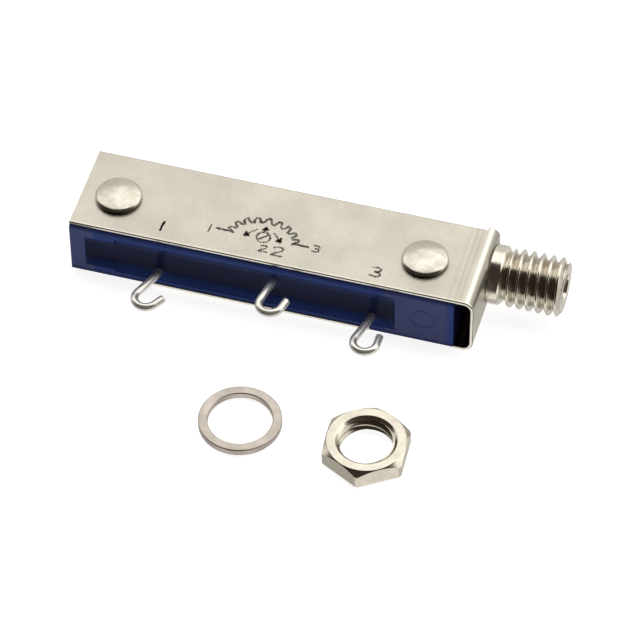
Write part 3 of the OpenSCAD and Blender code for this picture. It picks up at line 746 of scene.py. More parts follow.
@dataclass
class CoverStrap:
    """The folded sheet that holds the housing: two wide faces, two bends and the end wall."""

    thickness: float = 0.30
    front: float = -6.21
    front_top: float = -5.97
    back: float = 2.05
    wall_back: float = 2.45
    left: float = -33.35
    top: float = 2.675
    bend_r: float = 0.9
    edge_r: float = 0.08
    lip_len: float = 6.95
    lip_depth: float = 0.46
    body_right: float = -1.6
    notch_step: float = 0.02
    support: float = 0.06
    flat_margin: float = 0.04
    # How dark the painted shade is on the cut face's left end and inside past the housing.
    shade_depth: float = 0.9
    shaded_end: Span = (-31.6, -30.6)

    def middle_line(self) -> tuple[np.ndarray, np.ndarray]:
        """The path of the sheet's middle, from the lower left end round the end wall to the upper left end.

        Straight stretches join quarter circles of the bend's middle radius.

        Returns:
            Points (x, z) and the outward normals there.
        """
        half = self.thickness / 2
        z, r = self.top - half, self.bend_r - half
        cx, cz = -self.bend_r, self.top - self.bend_r
        notch = (self.left + self.lip_len, self.body_right - self.lip_len, self.body_right)
        steps = [x + s for x in notch for s in (-self.notch_step, self.notch_step)]
        stops = [self.left, *steps, cx - self.support, cx]
        lower = np.concatenate([np.linspace(a, b, 5)[:-1] for a, b in zip(stops, stops[1:])])
        low = np.stack([lower, np.full_like(lower, -z)], axis=1)
        upper = np.concatenate([[cx - self.support], np.linspace(cx - 2 * self.support, self.left, 40)])
        up = np.stack([upper, np.full_like(upper, z)], axis=1)
        bend_1 = arc((cx, -cz), r, -90, 0, steps=16)
        bend_2 = arc((cx, cz), r, 0, 90, steps=16)
        wall = np.linspace(bend_1[-1], bend_2[0], 9)[1:-1]
        path = np.vstack([low, bend_1, wall, bend_2, up])
        tangent = unit_tangents(path)
        return path, np.stack([tangent[:, 1], -tangent[:, 0]], axis=1)

    def section(self) -> np.ndarray:
        """The sheet's cut: a flat bar with eased corners.

        Returns:
            Rows of (share of the width, shift inwards from there, height over the middle).
        """
        h, r = self.thickness / 2, self.edge_r
        corner = np.vstack([arc((-r, h - r), r, 0, 90, steps=4), [(-r - self.flat_margin, h)]])
        right = np.insert(corner, 0, 1.0, axis=1)
        left = right[::-1] * (0, -1, 1)
        upper = np.vstack([right, left])
        return np.vstack([upper, (upper * (1, 1, -1))[::-1]])

    def edges(self, x: np.ndarray, z: np.ndarray) -> tuple[np.ndarray, np.ndarray]:
        """The sheet's front and back edge along its middle line.

        The front edge goes in a straight line from its lower to its upper place, and stands back by the lip's
        depth along both ends of the lower face. The end wall reaches further back than the wide faces.

        Args:
            x: The middle line's places along X.
            z: The middle line's heights.

        Returns:
            The front edge's and the back edge's places along Y.
        """
        at_left = x < self.left + self.lip_len
        at_right = (x > self.body_right - self.lip_len) & (x < self.body_right)
        in_lip = (z < -self.top + self.thickness) & (at_left | at_right)
        edge = np.interp(z, (-self.top, self.top - self.thickness), (self.front, self.front_top))
        front = np.where(in_lip, edge + self.lip_depth, edge)
        return front, np.where(x > -self.bend_r - TINY, self.wall_back, self.back)

    def darkened(self, x: np.ndarray) -> np.ndarray:
        """How much painted shade the sheet has at each point of each section.

        It is painted dark as shade on its rounded corners, on the front's cut face near the left end, and
        inside past the housing.

        Args:
            x: The sections' places along X, as a column.

        Returns:
            A value from 0 to 1 for each section's points.
        """
        share, shift, height = self.section().T
        half, rise = self.thickness / 2, np.abs(height)
        rounded = (rise < half - TINY) & (rise > half - self.edge_r + TINY)
        cut_face = (share == 0) & (shift < self.edge_r)
        dark = np.maximum(rounded, cut_face * np.interp(x, self.shaded_end, (self.shade_depth, 0.0)))
        return np.where((height < TINY - half) & (x > self.body_right), self.shade_depth, dark)

    def build(self) -> bpy.types.Object:
        """The sheet: its section carried along the middle line, with front and back edges that change with x.

        Returns:
            The cover's piece.
        """
        path, normal = self.middle_line()
        x, z = path[:, :1], path[:, 1:]
        front, back = self.edges(x, z)
        share, shift, height = self.section().T
        y = front + (back - front) * share + shift
        grid = np.stack([x + normal[:, :1] * height, y, z + normal[:, 1:] * height], axis=-1)
        patch = sheet_of(grid[:, ::-1], wrap_columns=True, capped=True)
        shade_amount = self.darkened(x)[:, ::-1].ravel()
        patch.shade_amount = np.concatenate([shade_amount, np.zeros(len(patch.points) - len(shade_amount))])
        return make_piece("cover_strap", patch, Finish.STRAP, ["cover"])


@dataclass
class Rivets:
    """Two semi-tubular rivets through the cover and the housing."""

    places: dict[str, float] = field(default_factory=lambda: {"left": -30.3, "right": -4.9})
    y: float = -2.45
    top: float = 2.675
    head_r: float = 1.87
    head_h: float = 0.74
    pole_deg: float = 89.8
    rim: float = 0.25
    shank_r: float = 1.05
    rolled_r: float = 1.55
    rolled_h: float = 0.35
    hollow_r: float = 0.6
    hollow_depth: float = 1.3
    hollow_ease: float = 0.2
    mouth_h: float = 0.02
    tip_r: float = 0.02
    steps: int = 96

    def profile(self) -> np.ndarray:
        """The cut of a rivet, from the dome's top down: head, shank, rolled end and hollow.

        The dome and its rim are arcs that meet without a corner. The dome's middle lies below the head's foot
        by (m^2 + rim^2 - (head_h - rim)^2) / (2 (head_h - 2 rim)), with m = head_r - rim.

        Returns:
            Points (radius, height).
        """
        mid = self.head_r - self.rim
        drop = (mid**2 + self.rim**2 - (self.head_h - self.rim) ** 2) / (2 * (self.head_h - 2 * self.rim))
        join = math.degrees(math.atan2(self.rim + drop, mid))
        dome = arc((0, self.top - drop), self.head_h + drop, self.pole_deg, join, steps=24)
        rim = arc((mid, self.top + self.rim), self.rim, join, -90, steps=18)[1:]
        shank = [(self.shank_r, self.top), (self.shank_r, -self.top)]
        foot, roll = -self.top - self.rolled_h, self.rolled_h / 2
        rolled = arc((self.rolled_r - roll, foot + roll), roll, 90, -90, steps=12)
        ease, deep = self.hollow_ease, foot + self.hollow_depth
        hollow = [(self.hollow_r + ease / 2, foot + self.mouth_h), (self.hollow_r, foot + ease),
                  (self.hollow_r, deep), (self.tip_r, deep + ease)]
        return np.vstack([dome, rim, shank, rolled, hollow])

    def build(self) -> None:
        """Both rivets: the profile carried round Z."""
        for side, x in self.places.items():
            grid = turned(supported(self.profile()), self.steps, "Z") + (x, self.y, 0)
            patch = sheet_of(grid[:, ::-1], wrap_columns=True, capped=True)
            name = f"rivet_{side}"
            make_piece(f"{name}_formed", patch, Finish.RIVET, [name], crease_deg=50)


@dataclass
class Bushing:
    """The threaded bushing, swaged into the end wall."""

    radius: float = 2.4
    length: float = 6.0
    shoulder: float = 1.2
    root_depth: float = 0.6134
    phase: float = 0.683
    crest: float = 0.07
    foot: float = 0.47
    fade: float = 0.25
    bore_r: float = 1.1
    spigot_r: float = 1.5
    swage: float = 0.25
    wall: float = 0.3
    chamfer: float = 0.3
    chamfer_slope: float = 1.25
    root_shade: float = 0.45
    steps: int = 144
    thread_rows: int = 260

    def start(self, root: float) -> np.ndarray:
        """The cut from the bore's inner end over the swaged spigot and the shoulder to the thread's start.

        Args:
            root: The thread's root radius.

        Returns:
            Points (radius, distance along X).
        """
        inner, swaged = -2 * self.wall, self.spigot_r + self.swage
        bevel = self.shoulder - self.chamfer
        # Points close together beside a corner ease it and keep the flats beside it flat.
        return np.array([
            (self.bore_r, inner), (swaged - 0.1, inner), (swaged, inner + 0.1), (swaged, -self.wall),
            (self.spigot_r, -self.wall), (self.spigot_r, 0.0), (self.radius - 0.06, 0.0), (self.radius, 0.05),
            (self.radius, 0.1), (self.radius, bevel - 0.09), (self.radius, bevel - 0.02),
            (self.radius - 0.03, bevel + 0.03), (self.radius - self.chamfer, self.shoulder - 0.02),
            (root + 0.01, self.shoulder + 0.05)])

    def end(self, root: float) -> np.ndarray:
        """The cut from the thread's end over the end face and back through the bore.

        Args:
            root: The thread's root radius.

        Returns:
            Points (radius, distance along X).
        """
        tip = min(self.radius - self.chamfer * self.chamfer_slope, root)
        return np.array([
            (tip - 0.08, self.length), (self.bore_r + 0.12, self.length),
            (self.bore_r + 0.03, self.length - 0.03), (self.bore_r, self.length - 0.12),
            (self.bore_r, 0.01 - 2 * self.wall)])

    def build(self) -> bpy.types.Object:
        """The bushing as one closed surface.

        Rows go from the bore's inner end out over the spigot, the shoulder and the thread to the end face and
        back through the bore. On the threaded rows the radius is the root radius plus the thread's height at
        that place, and at most that of the end's cone.

        Returns:
            The bushing's piece.
        """
        root = self.radius - self.root_depth * THREAD_PITCH
        angle = np.linspace(0, FULL_TURN, self.steps, endpoint=False)
        along = np.linspace(self.shoulder + 0.08, self.length, self.thread_rows)[:, None]
        rising = np.clip((along - self.shoulder - 0.1) / self.fade, 0, 1)
        height = thread_height(along, angle, self.phase, self.crest, self.foot) * rising
        past_bevel = np.clip(along - (self.length - self.chamfer), 0, self.chamfer)
        cone = self.radius - past_bevel * self.chamfer_slope
        radius = np.minimum(root + (self.radius - root) * height, cone)
        thread = np.stack([along + 0 * angle, radius * np.cos(angle), radius * np.sin(angle)], axis=-1)
        start = turned(self.start(root), self.steps, "X")
        grid = np.concatenate([start, thread, turned(self.end(root), self.steps, "X")])
        patch = sheet_of(grid[:, ::-1], wrap_rows=True, wrap_columns=True)
        shade_amount = np.zeros(grid.shape[:2])
        # The thread roots are painted dark as shade, more the deeper they lie.
        shade_amount[len(start):len(start) + len(along)] = self.root_shade * (1 - height)
        patch.shade_amount = shade_amount[:, ::-1].ravel()
        return make_piece("bushing_threaded", patch, Finish.BUSHING, ["bushing"],
                          crease_deg=40)


@dataclass
class HexNut:
    """The thin hexagon nut, lying on its plain face."""

    centre: tuple[float, float] = (-5.39, -18.04)
    ground: float = -3.025
    flats: float = 6.35
    height: float = 1.6
    turn_deg: float = 33.0
    mouth_r: float = 2.44
    mouth_bevel: float = 0.24
    thread_r: float = 2.46
    thread_depth: float = 0.44
    phase: float = 0.3
    crest: float = 0.10
    foot: float = 0.42
    thread_rows: int = 70
    thread_start: float = 0.16
    thread_end: float = 0.22
    chamfer_deg: float = 38.0
    corner_ease: float = 0.05
    edge_drop: float = 0.012
    top_margin: float = 0.06
    side_rows: tuple[Span, ...] = ((0.0, 0.9), (0.0, 0.08), (0.06, 0.0))
    under_bevel: Span = (0.2, 0.12)
    bore_shade: Span = (0.25, 0.85)
    steps: int = 240

    def rings(self, pairs: Sequence[tuple[float, float]]) -> np.ndarray:
        """Level rings, as rows of (radius, height).

        Args:
            pairs: Radius and height of each ring.

        Returns:
            A grid of shape (rings, steps, 2).
        """
        return np.repeat(np.array(pairs)[:, None], self.steps, axis=1)

    def bore(self, a: np.ndarray) -> tuple[np.ndarray, np.ndarray]:
        """The threaded bore, from the bottom up.

        The radius is the thread's outer radius, less its depth where no ridge of a matching screw would lie.

        Args:
            a: Angles round the nut.

        Returns:
            Rows of (radius, height), and how far in each point lies, from 0 at the outer radius to 1.
        """
        up = np.linspace(self.thread_start, self.height - self.thread_end, self.thread_rows)[:, None]
        inward = 1 - thread_height(up, a, self.phase, self.crest, self.foot)
        minor = self.thread_r - self.thread_depth * THREAD_PITCH
        radius = self.thread_r - (self.thread_r - minor) * inward
        return np.stack([radius, up + 0 * a], axis=-1), inward

    def outside(self, a: np.ndarray) -> np.ndarray:
        """The chamfered corners and the six flats, from the top down.

        The side's radius is that of the hexagon, (flats / 2) / cos(a folded into 60 degrees), with its
        corners eased. From the top's rim outwards the surface drops by the tangent of the chamfer's angle.

        Args:
            a: Angles round the nut.

        Returns:
            Rows of (radius, height).
        """
        fold = a % (math.pi / 3) - math.pi / 6
        corner = self.flats / 2 / math.cos(math.pi / 6)
        hexagon = np.minimum(self.flats / 2 / np.cos(fold), corner - self.corner_ease)
        rim = self.flats / 2 - self.top_margin
        reach = np.linspace(0, 1, 9)[:, None]
        side = rim + (hexagon - rim) * reach
        drop = (side - rim) * math.tan(math.radians(self.chamfer_deg)) + self.edge_drop * (reach > 0)
        rows = [np.stack([side, self.height - drop], axis=-1)]
        for inset, z in self.side_rows:
            rows.append(np.stack([hexagon - inset, np.full(self.steps, z)], axis=-1)[None])
        return np.concatenate(rows)

    def build(self) -> bpy.types.Object:
        """The nut as one closed surface round its bore.

        Rows go round the nut's cut: up the bore, over the mouth and the top, down the side and back under.
        They are turned about Z and moved to the nut's place.

        Returns:
            The nut's piece.
        """
        a = np.linspace(0, FULL_TURN, self.steps, endpoint=False)
        bore, inward = self.bore(a)
        bevel, height, mouth = self.mouth_bevel, self.height, self.mouth_r
        rim = self.flats / 2 - self.top_margin
        # Rings close together beside a corner ease it and keep the flats beside it flat.
        top = self.rings([
            (mouth - bevel, height - bevel), (mouth - bevel + 0.03, height - bevel + 0.03),
            (mouth - 0.05, height - 0.05), (mouth - 0.01, height - 0.015), (mouth + 0.03, height),
            (mouth + 0.08, height), (rim - 0.08, height), (rim - 0.03, height)])
        inset, rise = self.under_bevel
        under = self.rings([(mouth, 0.0), (mouth - inset, rise)])
        rz = np.concatenate([bore, top, self.outside(a), under])
        grid = np.stack([rz[..., 0] * np.cos(a), rz[..., 0] * np.sin(a), rz[..., 1]], axis=-1)
        cosine, sine = math.cos(math.radians(self.turn_deg)), math.sin(math.radians(self.turn_deg))
        spin = np.array([[cosine, sine, 0], [-sine, cosine, 0], [0, 0, 1]])
        grid = grid @ spin + (*self.centre, self.ground)
        patch = sheet_of(grid, wrap_rows=True, wrap_columns=True)
        # The bore is painted dark as shade, most in the thread roots.
        shade_amount = np.zeros(grid.shape[:2])
        least, most = self.bore_shade
        shade_amount[:len(bore)] = least + (most - least) * (1 - inward)
        patch.shade_amount = shade_amount.ravel()
        return make_piece("hex_nut_threaded", patch, Finish.NUT, ["hex_nut"], crease_deg=28)


@dataclass
class LockWasher:
    """The split spring washer, its two cut ends almost closed."""

    centre: tuple[float, float] = (-15.69, -17.86)
    ground: float = -3.025
    inner_r: float = 2.56
    outer_r: float = 3.3
    thickness: float = 0.62
    rise: float = 0.10
    edge_r: float = 0.09
    cut_deg: float = 23.8
    gap_deg: float = 1.3
    slant_deg: float = -9.0
    lean_deg: float = 2.0
    stations: int = 181

    def build(self) -> bpy.types.Object:
        """A bar with eased corners carried once round Z, climbing by the rise.

        A point of the section at radius r and height h goes to the angle a + slant (r - middle) + lean h / t,
        so that both cut ends lie at a slant across the bar.

        Returns:
            The washer's piece.
        """
        mid, half_w = (self.inner_r + self.outer_r) / 2, (self.outer_r - self.inner_r) / 2
        e, t = self.edge_r, self.thickness
        w = half_w - e
        corners = ((w, t - e, 0), (-w, t - e, 90), (-w, e, 180), (w, e, 270))
        rounded = np.vstack([arc((mid + x, z), e, start, start + 90, steps=4) for x, z, start in corners])
        section = supported(rounded, closed=True)
        share = np.linspace(0, 1, self.stations)[:, None]
        base = self.cut_deg + self.gap_deg / 2 + (360 - self.gap_deg) * share
        slant = self.slant_deg * (section[:, 0] - mid) + self.lean_deg * section[:, 1] / t
        angle = np.radians(base + slant)
        r = section[:, 0] + 0 * angle
        grid = np.stack([r * np.cos(angle), r * np.sin(angle), section[:, 1] + self.rise * share], axis=-1)
        grid = grid + (*self.centre, self.ground)
        patch = sheet_of(grid[:, ::-1], wrap_columns=True, capped=True)
        return make_piece("lock_washer_split", patch, Finish.WASHER, ["lock_washer"])


@dataclass
class HookTerminals:
    """Three tinned wires, each bent to a flat hook."""

    wire_r: float = 0.32
    hook_r: float = 0.94
    base_bend_r: float = 0.9
    front: float = -6.13
    inner_end: float = -3.83
    straight_in: float = 0.5
    bend_in: float = 0.1
    xs: tuple[float, ...] = (-26.05, -16.5, -8.35)
    zs: tuple[float, ...] = (-1.205, 0.525, -1.205)
    reaches: tuple[float, ...] = (2.74, 2.13, 2.6)
    leans: tuple[float, ...] = (23, 12, 16)
    wraps: tuple[float, ...] = (148, 165, 179)
    tip: float = 0.95
    tip_steps: tuple[float, ...] = (0.1, 0.9, 1.0)
    tip_rounding: tuple[float, ...] = (1.0, 0.95, 0.82)
    tip_ease: float = 0.05
    steps: int = 28

    def path(self, number: int) -> np.ndarray:
        """The wire's middle line: straight stretch, small bend, leaning shank, the hook's arc and its tip.

        The shank is the straight stretch between the two arcs, so it has no points of its own.

        Args:
            number: Which wire, from 0.

        Returns:
            Points (x, y), of shape (rows, 2).
        """
        lean = math.radians(self.leans[number])
        hook_y = self.front - self.reaches[number]
        bend = (self.xs[number] - self.base_bend_r, self.front + self.bend_in)
        shank_y = (bend[1] - self.base_bend_r * math.sin(lean), hook_y + self.hook_r * math.sin(lean))
        shank = (shank_y[0] - shank_y[1]) / math.cos(lean)
        hook_x = bend[0] + (self.base_bend_r + self.hook_r) * math.cos(lean) - shank * math.sin(lean)
        start = [(self.xs[number], self.inner_end), (self.xs[number], self.front + self.straight_in)]
        base = arc(bend, self.base_bend_r, 0, -math.degrees(lean), steps=6)
        hook_start, hook_end = 180 - math.degrees(lean), self.wraps[number] + 180
        hook = arc((hook_x, hook_y), self.hook_r, hook_start, hook_end, steps=48)
        last = math.radians(self.wraps[number] - 90)
        reach = (self.tip - self.tip_ease) * np.array(self.tip_steps)[:, None]
        return np.vstack([start, base, hook, hook[-1] + reach * (math.cos(last), math.sin(last))])

    def build(self) -> None:
        """Each wire: a circle carried along its middle line, with a sheared tip that is eased at its rim."""
        ring = np.linspace(0, FULL_TURN, self.steps, endpoint=False)
        for number, z in enumerate(self.zs):
            path = self.path(number)
            tangent = unit_tangents(path)
            side = np.stack([-tangent[:, 1], tangent[:, 0]], axis=1)
            rim = path[-1] + tangent[-1] * np.array([[0.7], [1.0]]) * self.tip_ease
            stations = np.vstack([path, rim])
            sides = np.vstack([side, side[-1:], side[-1:]])
            radius = np.full((len(stations), 1), self.wire_r)
            radius[-3:, 0] *= self.tip_rounding
            across = radius * np.cos(ring)
            grid = np.stack([stations[:, :1] + sides[:, :1] * across, stations[:, 1:] + sides[:, 1:] * across,
                             z + radius * np.sin(ring)], axis=-1)
            patch = sheet_of(grid, wrap_columns=True, capped=True)
            replaced = f"terminal_{number + 1}"
            make_piece(f"hook_{number + 1}", patch, Finish.WIRE, [replaced], crease_deg=50)


@dataclass
class PottingResin:
    """Resin in the housing's well, climbing a little up the rims and up the wires."""

    front: float = -6.13
    floor: float = -4.93
    left: float = -32.1
    step_x: float = -29.6
    step_half: float = 0.01
    right: float = -6.4
    bottom: float = -2.005
    top: float = 1.725
    rim_step: float = 0.36
    sag: float = 0.36
    sag_span: float = 0.35
    drop: float = 0.08
    collar: float = 0.14
    collar_span: float = 0.22
    end_columns: int = 24
    columns: int = 280
    rows: int = 41
    wires: HookTerminals = field(default_factory=HookTerminals)

    def build(self) -> bpy.types.Object:
        """A hollow skin over the well, closed towards its floor.

        With u from -1 to 1 across the well, the skin lies at front + drop + sag (1 - u^4), with the sag
        fading by exp(-distance / sag_span) towards both ends. Each wire draws up a collar of resin that is
        collar exp(-distance / collar_span) high.

        Returns:
            The resin's piece.
        """
        x = np.concatenate([np.linspace(self.left, self.step_x - self.step_half, self.end_columns),
                            np.linspace(self.step_x + self.step_half, self.right, self.columns)])
        narrow = x < self.step_x
        low = np.where(narrow, self.bottom + self.rim_step / 2, self.bottom)
        high = np.where(narrow, self.top - self.rim_step, self.top)
        u = np.sin(np.linspace(-math.pi / 2, math.pi / 2, self.rows))
        z = (low + high)[:, None] / 2 + (high - low)[:, None] / 2 * u
        ends = np.minimum(x - self.left, self.right - x)[:, None]
        y = self.front + self.drop + self.sag * (1 - u**4) * (1 - np.exp(-ends / self.sag_span))
        for wire_x, wire_z in zip(self.wires.xs, self.wires.zs):
            away = np.hypot(x[:, None] - wire_x, z - wire_z) - self.wires.wire_r
            y = y - self.collar * np.exp(-np.clip(away, 0, None) / self.collar_span)
        xs = x[:, None] + 0 * u
        skin = np.stack([xs, y, z], axis=-1)
        deep = np.stack([xs, np.full_like(y, self.floor), z], axis=-1)
        grid = np.concatenate([skin, deep[:, ::-1]], axis=1)
        patch = sheet_of(grid[:, ::-1], wrap_columns=True, capped=True)
        return make_piece("resin_fill", patch, Finish.RESIN, ["potting_seal"], crease_deg=50)


class Glyph(Enum):
    """Printed signs as strokes in a box one unit high, each stroke a list of points."""

    ONE = (((0.0, 0.0), (0.0, 1.0)),)
    TWO = (((-0.38, 0.86), (-0.1, 1.0), (0.25, 0.96), (0.4, 0.74), (0.25, 0.52), (-0.15, 0.3), (-0.42, 0.04)),
           ((-0.42, 0.0), (0.45, 0.0)))
    THREE = (((-0.35, 0.95), (0.05, 1.0), (0.36, 0.84), (0.3, 0.6), (-0.05, 0.52)),
             ((-0.05, 0.5), (0.36, 0.42), (0.4, 0.14), (0.05, 0.0), (-0.4, 0.06)))
    ARROW = (((-0.3, -0.15), (0.0, 0.32), (0.3, -0.15), (-0.3, -0.15)), ((-0.14, 0.0), (0.14, 0.0)),
             ((0.0, 0.15), (0.0, -0.3)))
    RING = (tuple((0.5 * math.cos(a), 0.5 * math.sin(a)) for a in np.radians(range(0, 361, 30))),
            ((-0.24, -0.2), (0.24, 0.2)))


@dataclass
class Sign:
    """One printed sign: its strokes, its place and size, and how its dots lie."""

    glyph: Glyph
    x: float
    y: float
    height: float
    pitch: float
    dot_share: float
    turn_deg: float = 0.0

    def strokes(self) -> list[np.ndarray]:
        """The sign's strokes, turned, scaled and placed with (x, y) where the glyph has its origin.

        Returns:
            The points of each stroke, of shape (points, 2).
        """
        a = math.radians(self.turn_deg)
        spin = np.array([[math.cos(a), math.sin(a)], [-math.sin(a), math.cos(a)]])
        return [np.array(stroke) * self.height @ spin + (self.x, self.y) for stroke in self.glyph.value]


@dataclass
class PrintedMarks:
    """Dot-printed terminal numbers and the circuit sign on the wide face."""

    top: float = 2.675
    dot_r: float = 0.135
    dot_spread: Span = (0.75, 1.2)
    dot_top: float = 0.85
    dot_sides: int = 8
    film: float = 0.004
    scatter: float = 0.018
    seed: int = 7
    sign_x: float = -17.98
    arc_y: float = -3.66
    arc_rx: float = 2.72
    arc_ry: float = 1.95
    arc_ends_deg: Span = (176, 4)
    arc_steps: int = 361
    humps: int = 9
    hump: float = 0.24
    flattening: float = 1.7
    arc_pitch: float = 0.185
    lead_pitch: float = 0.15
    dash_pitch: float = 0.17

    def dots_on(self, stroke: Sequence[Sequence[float]], pitch: float) -> np.ndarray:
        """Places of the dots along a stroke, evenly spaced by its length.

        Args:
            stroke: Points of the stroke.
            pitch: Rough distance from dot to dot.

        Returns:
            The dots' places, of shape (dots, 2).
        """
        line = np.asarray(stroke)
        lengths = np.linalg.norm(np.diff(line, axis=0), axis=1)
        total = np.concatenate([[0], np.cumsum(lengths)])
        count = max(2, int(round(total[-1] / pitch)) + 1)
        at = np.linspace(0, total[-1], count)
        return np.stack([np.interp(at, total, line[:, k]) for k in (0, 1)], axis=1)

    def printed(self, sign: Sign) -> np.ndarray:
        """Dots of one sign, stroke by stroke."""
        return np.vstack([self.dots_on(stroke, sign.pitch) for stroke in sign.strokes()])

    def track_sign(self) -> np.ndarray:
        """The zigzag of a resistor bent over an oval arc.

        The arc is (x + rx cos a, y + ry sin a), and the zigzag stands off it by the hump's height times a
        flattened wave of nine humps. A straight lead runs out at both ends.

        Returns:
            The dots' places, of shape (dots, 2).
        """
        x, y, rx, ry = self.sign_x, self.arc_y, self.arc_rx, self.arc_ry
        a = np.radians(np.linspace(*self.arc_ends_deg, self.arc_steps))
        phase = np.linspace(-0.25, self.humps - 0.25, self.arc_steps) * FULL_TURN
        wave = np.clip(self.flattening * np.sin(phase), -1, 1) * self.hump
        normal = np.stack([np.cos(a) / rx, np.sin(a) / ry], axis=1)
        normal /= np.linalg.norm(normal, axis=1, keepdims=True)
        line = np.stack([x + rx * np.cos(a), y + ry * np.sin(a)], axis=1) + normal * wave[:, None]
        leads = (((x - 3.84, -3.48), (x - 2.68, -3.51)), ((x + 2.55, -3.49), (x + 3.73, -3.53)))
        at_ends = [self.dots_on(lead, self.lead_pitch) for lead in leads]
        return np.vstack([self.dots_on(line, self.arc_pitch), *at_ends])

    def layout(self) -> tuple[np.ndarray, np.ndarray]:
        """Every printed dot: the numbers 1, 2 and 3 and the turning sign with its arrows.

        Returns:
            The dots' places, of shape (dots, 2), and each dot's share of the dot's radius.
        """
        x = self.sign_x
        dashes = (((x - 0.72, -2.83), (x - 1.12, -3.2)), ((x + 0.75, -2.84), (x + 1.12, -3.2)))
        before = (Sign(Glyph.ONE, -26.08, -4.93, 0.98, 0.05, 0.8, -5),
                  Sign(Glyph.ONE, -22.36, -4.0, 0.73, 0.08, 0.65, -5))
        inside = (Sign(Glyph.RING, x + 0.05, -3.46, 1.12, 0.19, 0.9),
                  Sign(Glyph.ARROW, x, -2.58, 0.68, 0.16, 0.85),
                  Sign(Glyph.ARROW, x - 1.36, -3.5, 0.72, 0.16, 0.9, 135),
                  Sign(Glyph.ARROW, x + 1.36, -3.5, 0.72, 0.16, 0.9, 225))
        after = (Sign(Glyph.TWO, x + 0.38, -4.92, 0.64, 0.18, 0.85),
                 Sign(Glyph.TWO, x + 1.58, -5.06, 0.95, 0.17, 0.85),
                 Sign(Glyph.THREE, -13.54, -3.86, 0.66, 0.18, 0.85),
                 Sign(Glyph.THREE, -8.32, -5.1, 0.97, 0.17, 0.85))
        groups = [(self.printed(sign), sign.dot_share) for sign in before]
        groups.append((self.track_sign(), 1.0))
        groups += [(self.printed(sign), sign.dot_share) for sign in inside]
        groups += [(self.dots_on(dash, self.dash_pitch), 0.75) for dash in dashes]
        groups += [(self.printed(sign), sign.dot_share) for sign in after]
        shares = [np.full(len(places), share) for places, share in groups]
        return np.vstack([places for places, _ in groups]), np.concatenate(shares)

    def discs(self, dots: np.ndarray, size: np.ndarray) -> Patch:
        """Thin discs that taper upwards: a ring of points below and a smaller one above, each with a fan.

        Args:
            dots: The discs' places, of shape (dots, 2).
            size: Each disc's radius.

        Returns:
            All discs as one patch.
        """
        count, n = len(dots), self.dot_sides
        a = np.linspace(0, FULL_TURN, n, endpoint=False)
        reach = size[:, None, None] * np.stack([np.cos(a), np.sin(a)], axis=-1)
        low = np.concatenate([dots[:, None] + reach, np.full((count, n, 1), self.top - self.film)], axis=-1)
        high = np.concatenate([dots[:, None] + reach * self.dot_top,
                               np.full((count, n, 1), self.top + self.film)], axis=-1)
        points = np.concatenate([low, high], axis=1)
        first = np.arange(count)[:, None] * 2 * n
        j = np.arange(n)
        k = (j + 1) % n
        quads = np.stack([first + j, first + k, first + n + k, first + n + j], axis=-1).reshape(-1, 4)
        fan = np.arange(1, n - 1)
        tops = np.stack([first + n + 0 * fan, first + n + fan, first + n + 1 + fan], axis=-1).reshape(-1, 3)
        base = np.stack([first + 0 * fan, first + fan + 1, first + fan], axis=-1).reshape(-1, 3)
        return Patch(points.reshape(-1, 3), quads, np.vstack([tops, base]))

    def build(self) -> bpy.types.Object:
        """All dots as thin flat discs that share one mesh, each a little off its place and size.

        Returns:
            The print's piece.
        """
        dots, share = self.layout()
        rng = np.random.default_rng(self.seed)
        dots = dots + rng.normal(0, self.scatter, dots.shape)
        size = self.dot_r * share * rng.uniform(*self.dot_spread, len(dots))
        return make_piece("printed_marks", self.discs(dots, size), Finish.INK)


@dataclass
class Mouldings:
    """The housing and the inner pieces, whose solids are shown as they are and only dressed."""

    finishes: dict[str, Finish] = field(default_factory=lambda: {
        "housing": Finish.BLUE, "housing_lid": Finish.BLUE, "adjusting_screw": Finish.SCREW,
        "retaining_clip": Finish.SCREW, "shaft_seal": Finish.RUBBER, "carriage": Finish.IVORY,
        "wiper_spring": Finish.SPRING, "ceramic_strip": Finish.CERAMIC, "resistive_track": Finish.CERMET,
        "end_contact_1": Finish.SILVER, "end_contact_3": Finish.SILVER, "collector_strip": Finish.SILVER,
        "solder_joint_1": Finish.SOLDER, "solder_joint_2": Finish.SOLDER, "solder_joint_3": Finish.SOLDER})
    corner_mm: float = 0.06
    corner_deg: float = 35.0
    corner_steps: int = 2

    def build(self) -> None:
        """Gives each solid its finish, and the housing a small rounding along its edges."""
        for name, finish in self.finishes.items():
            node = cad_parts[name]
            node.data.materials.clear()
            node.data.materials.append(finish.material())
            LOG.info("%s: dressed with %s", name, finish.value.name)
        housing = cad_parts["housing"]
        weld = housing.modifiers.new("weld", "WELD")
        weld.merge_threshold = TINY
        bevel = housing.modifiers.new("edges", "BEVEL")
        bevel.width = self.corner_mm * MM
        bevel.segments = self.corner_steps
        bevel.limit_method = "ANGLE"
        bevel.angle_limit = math.radians(self.corner_deg)


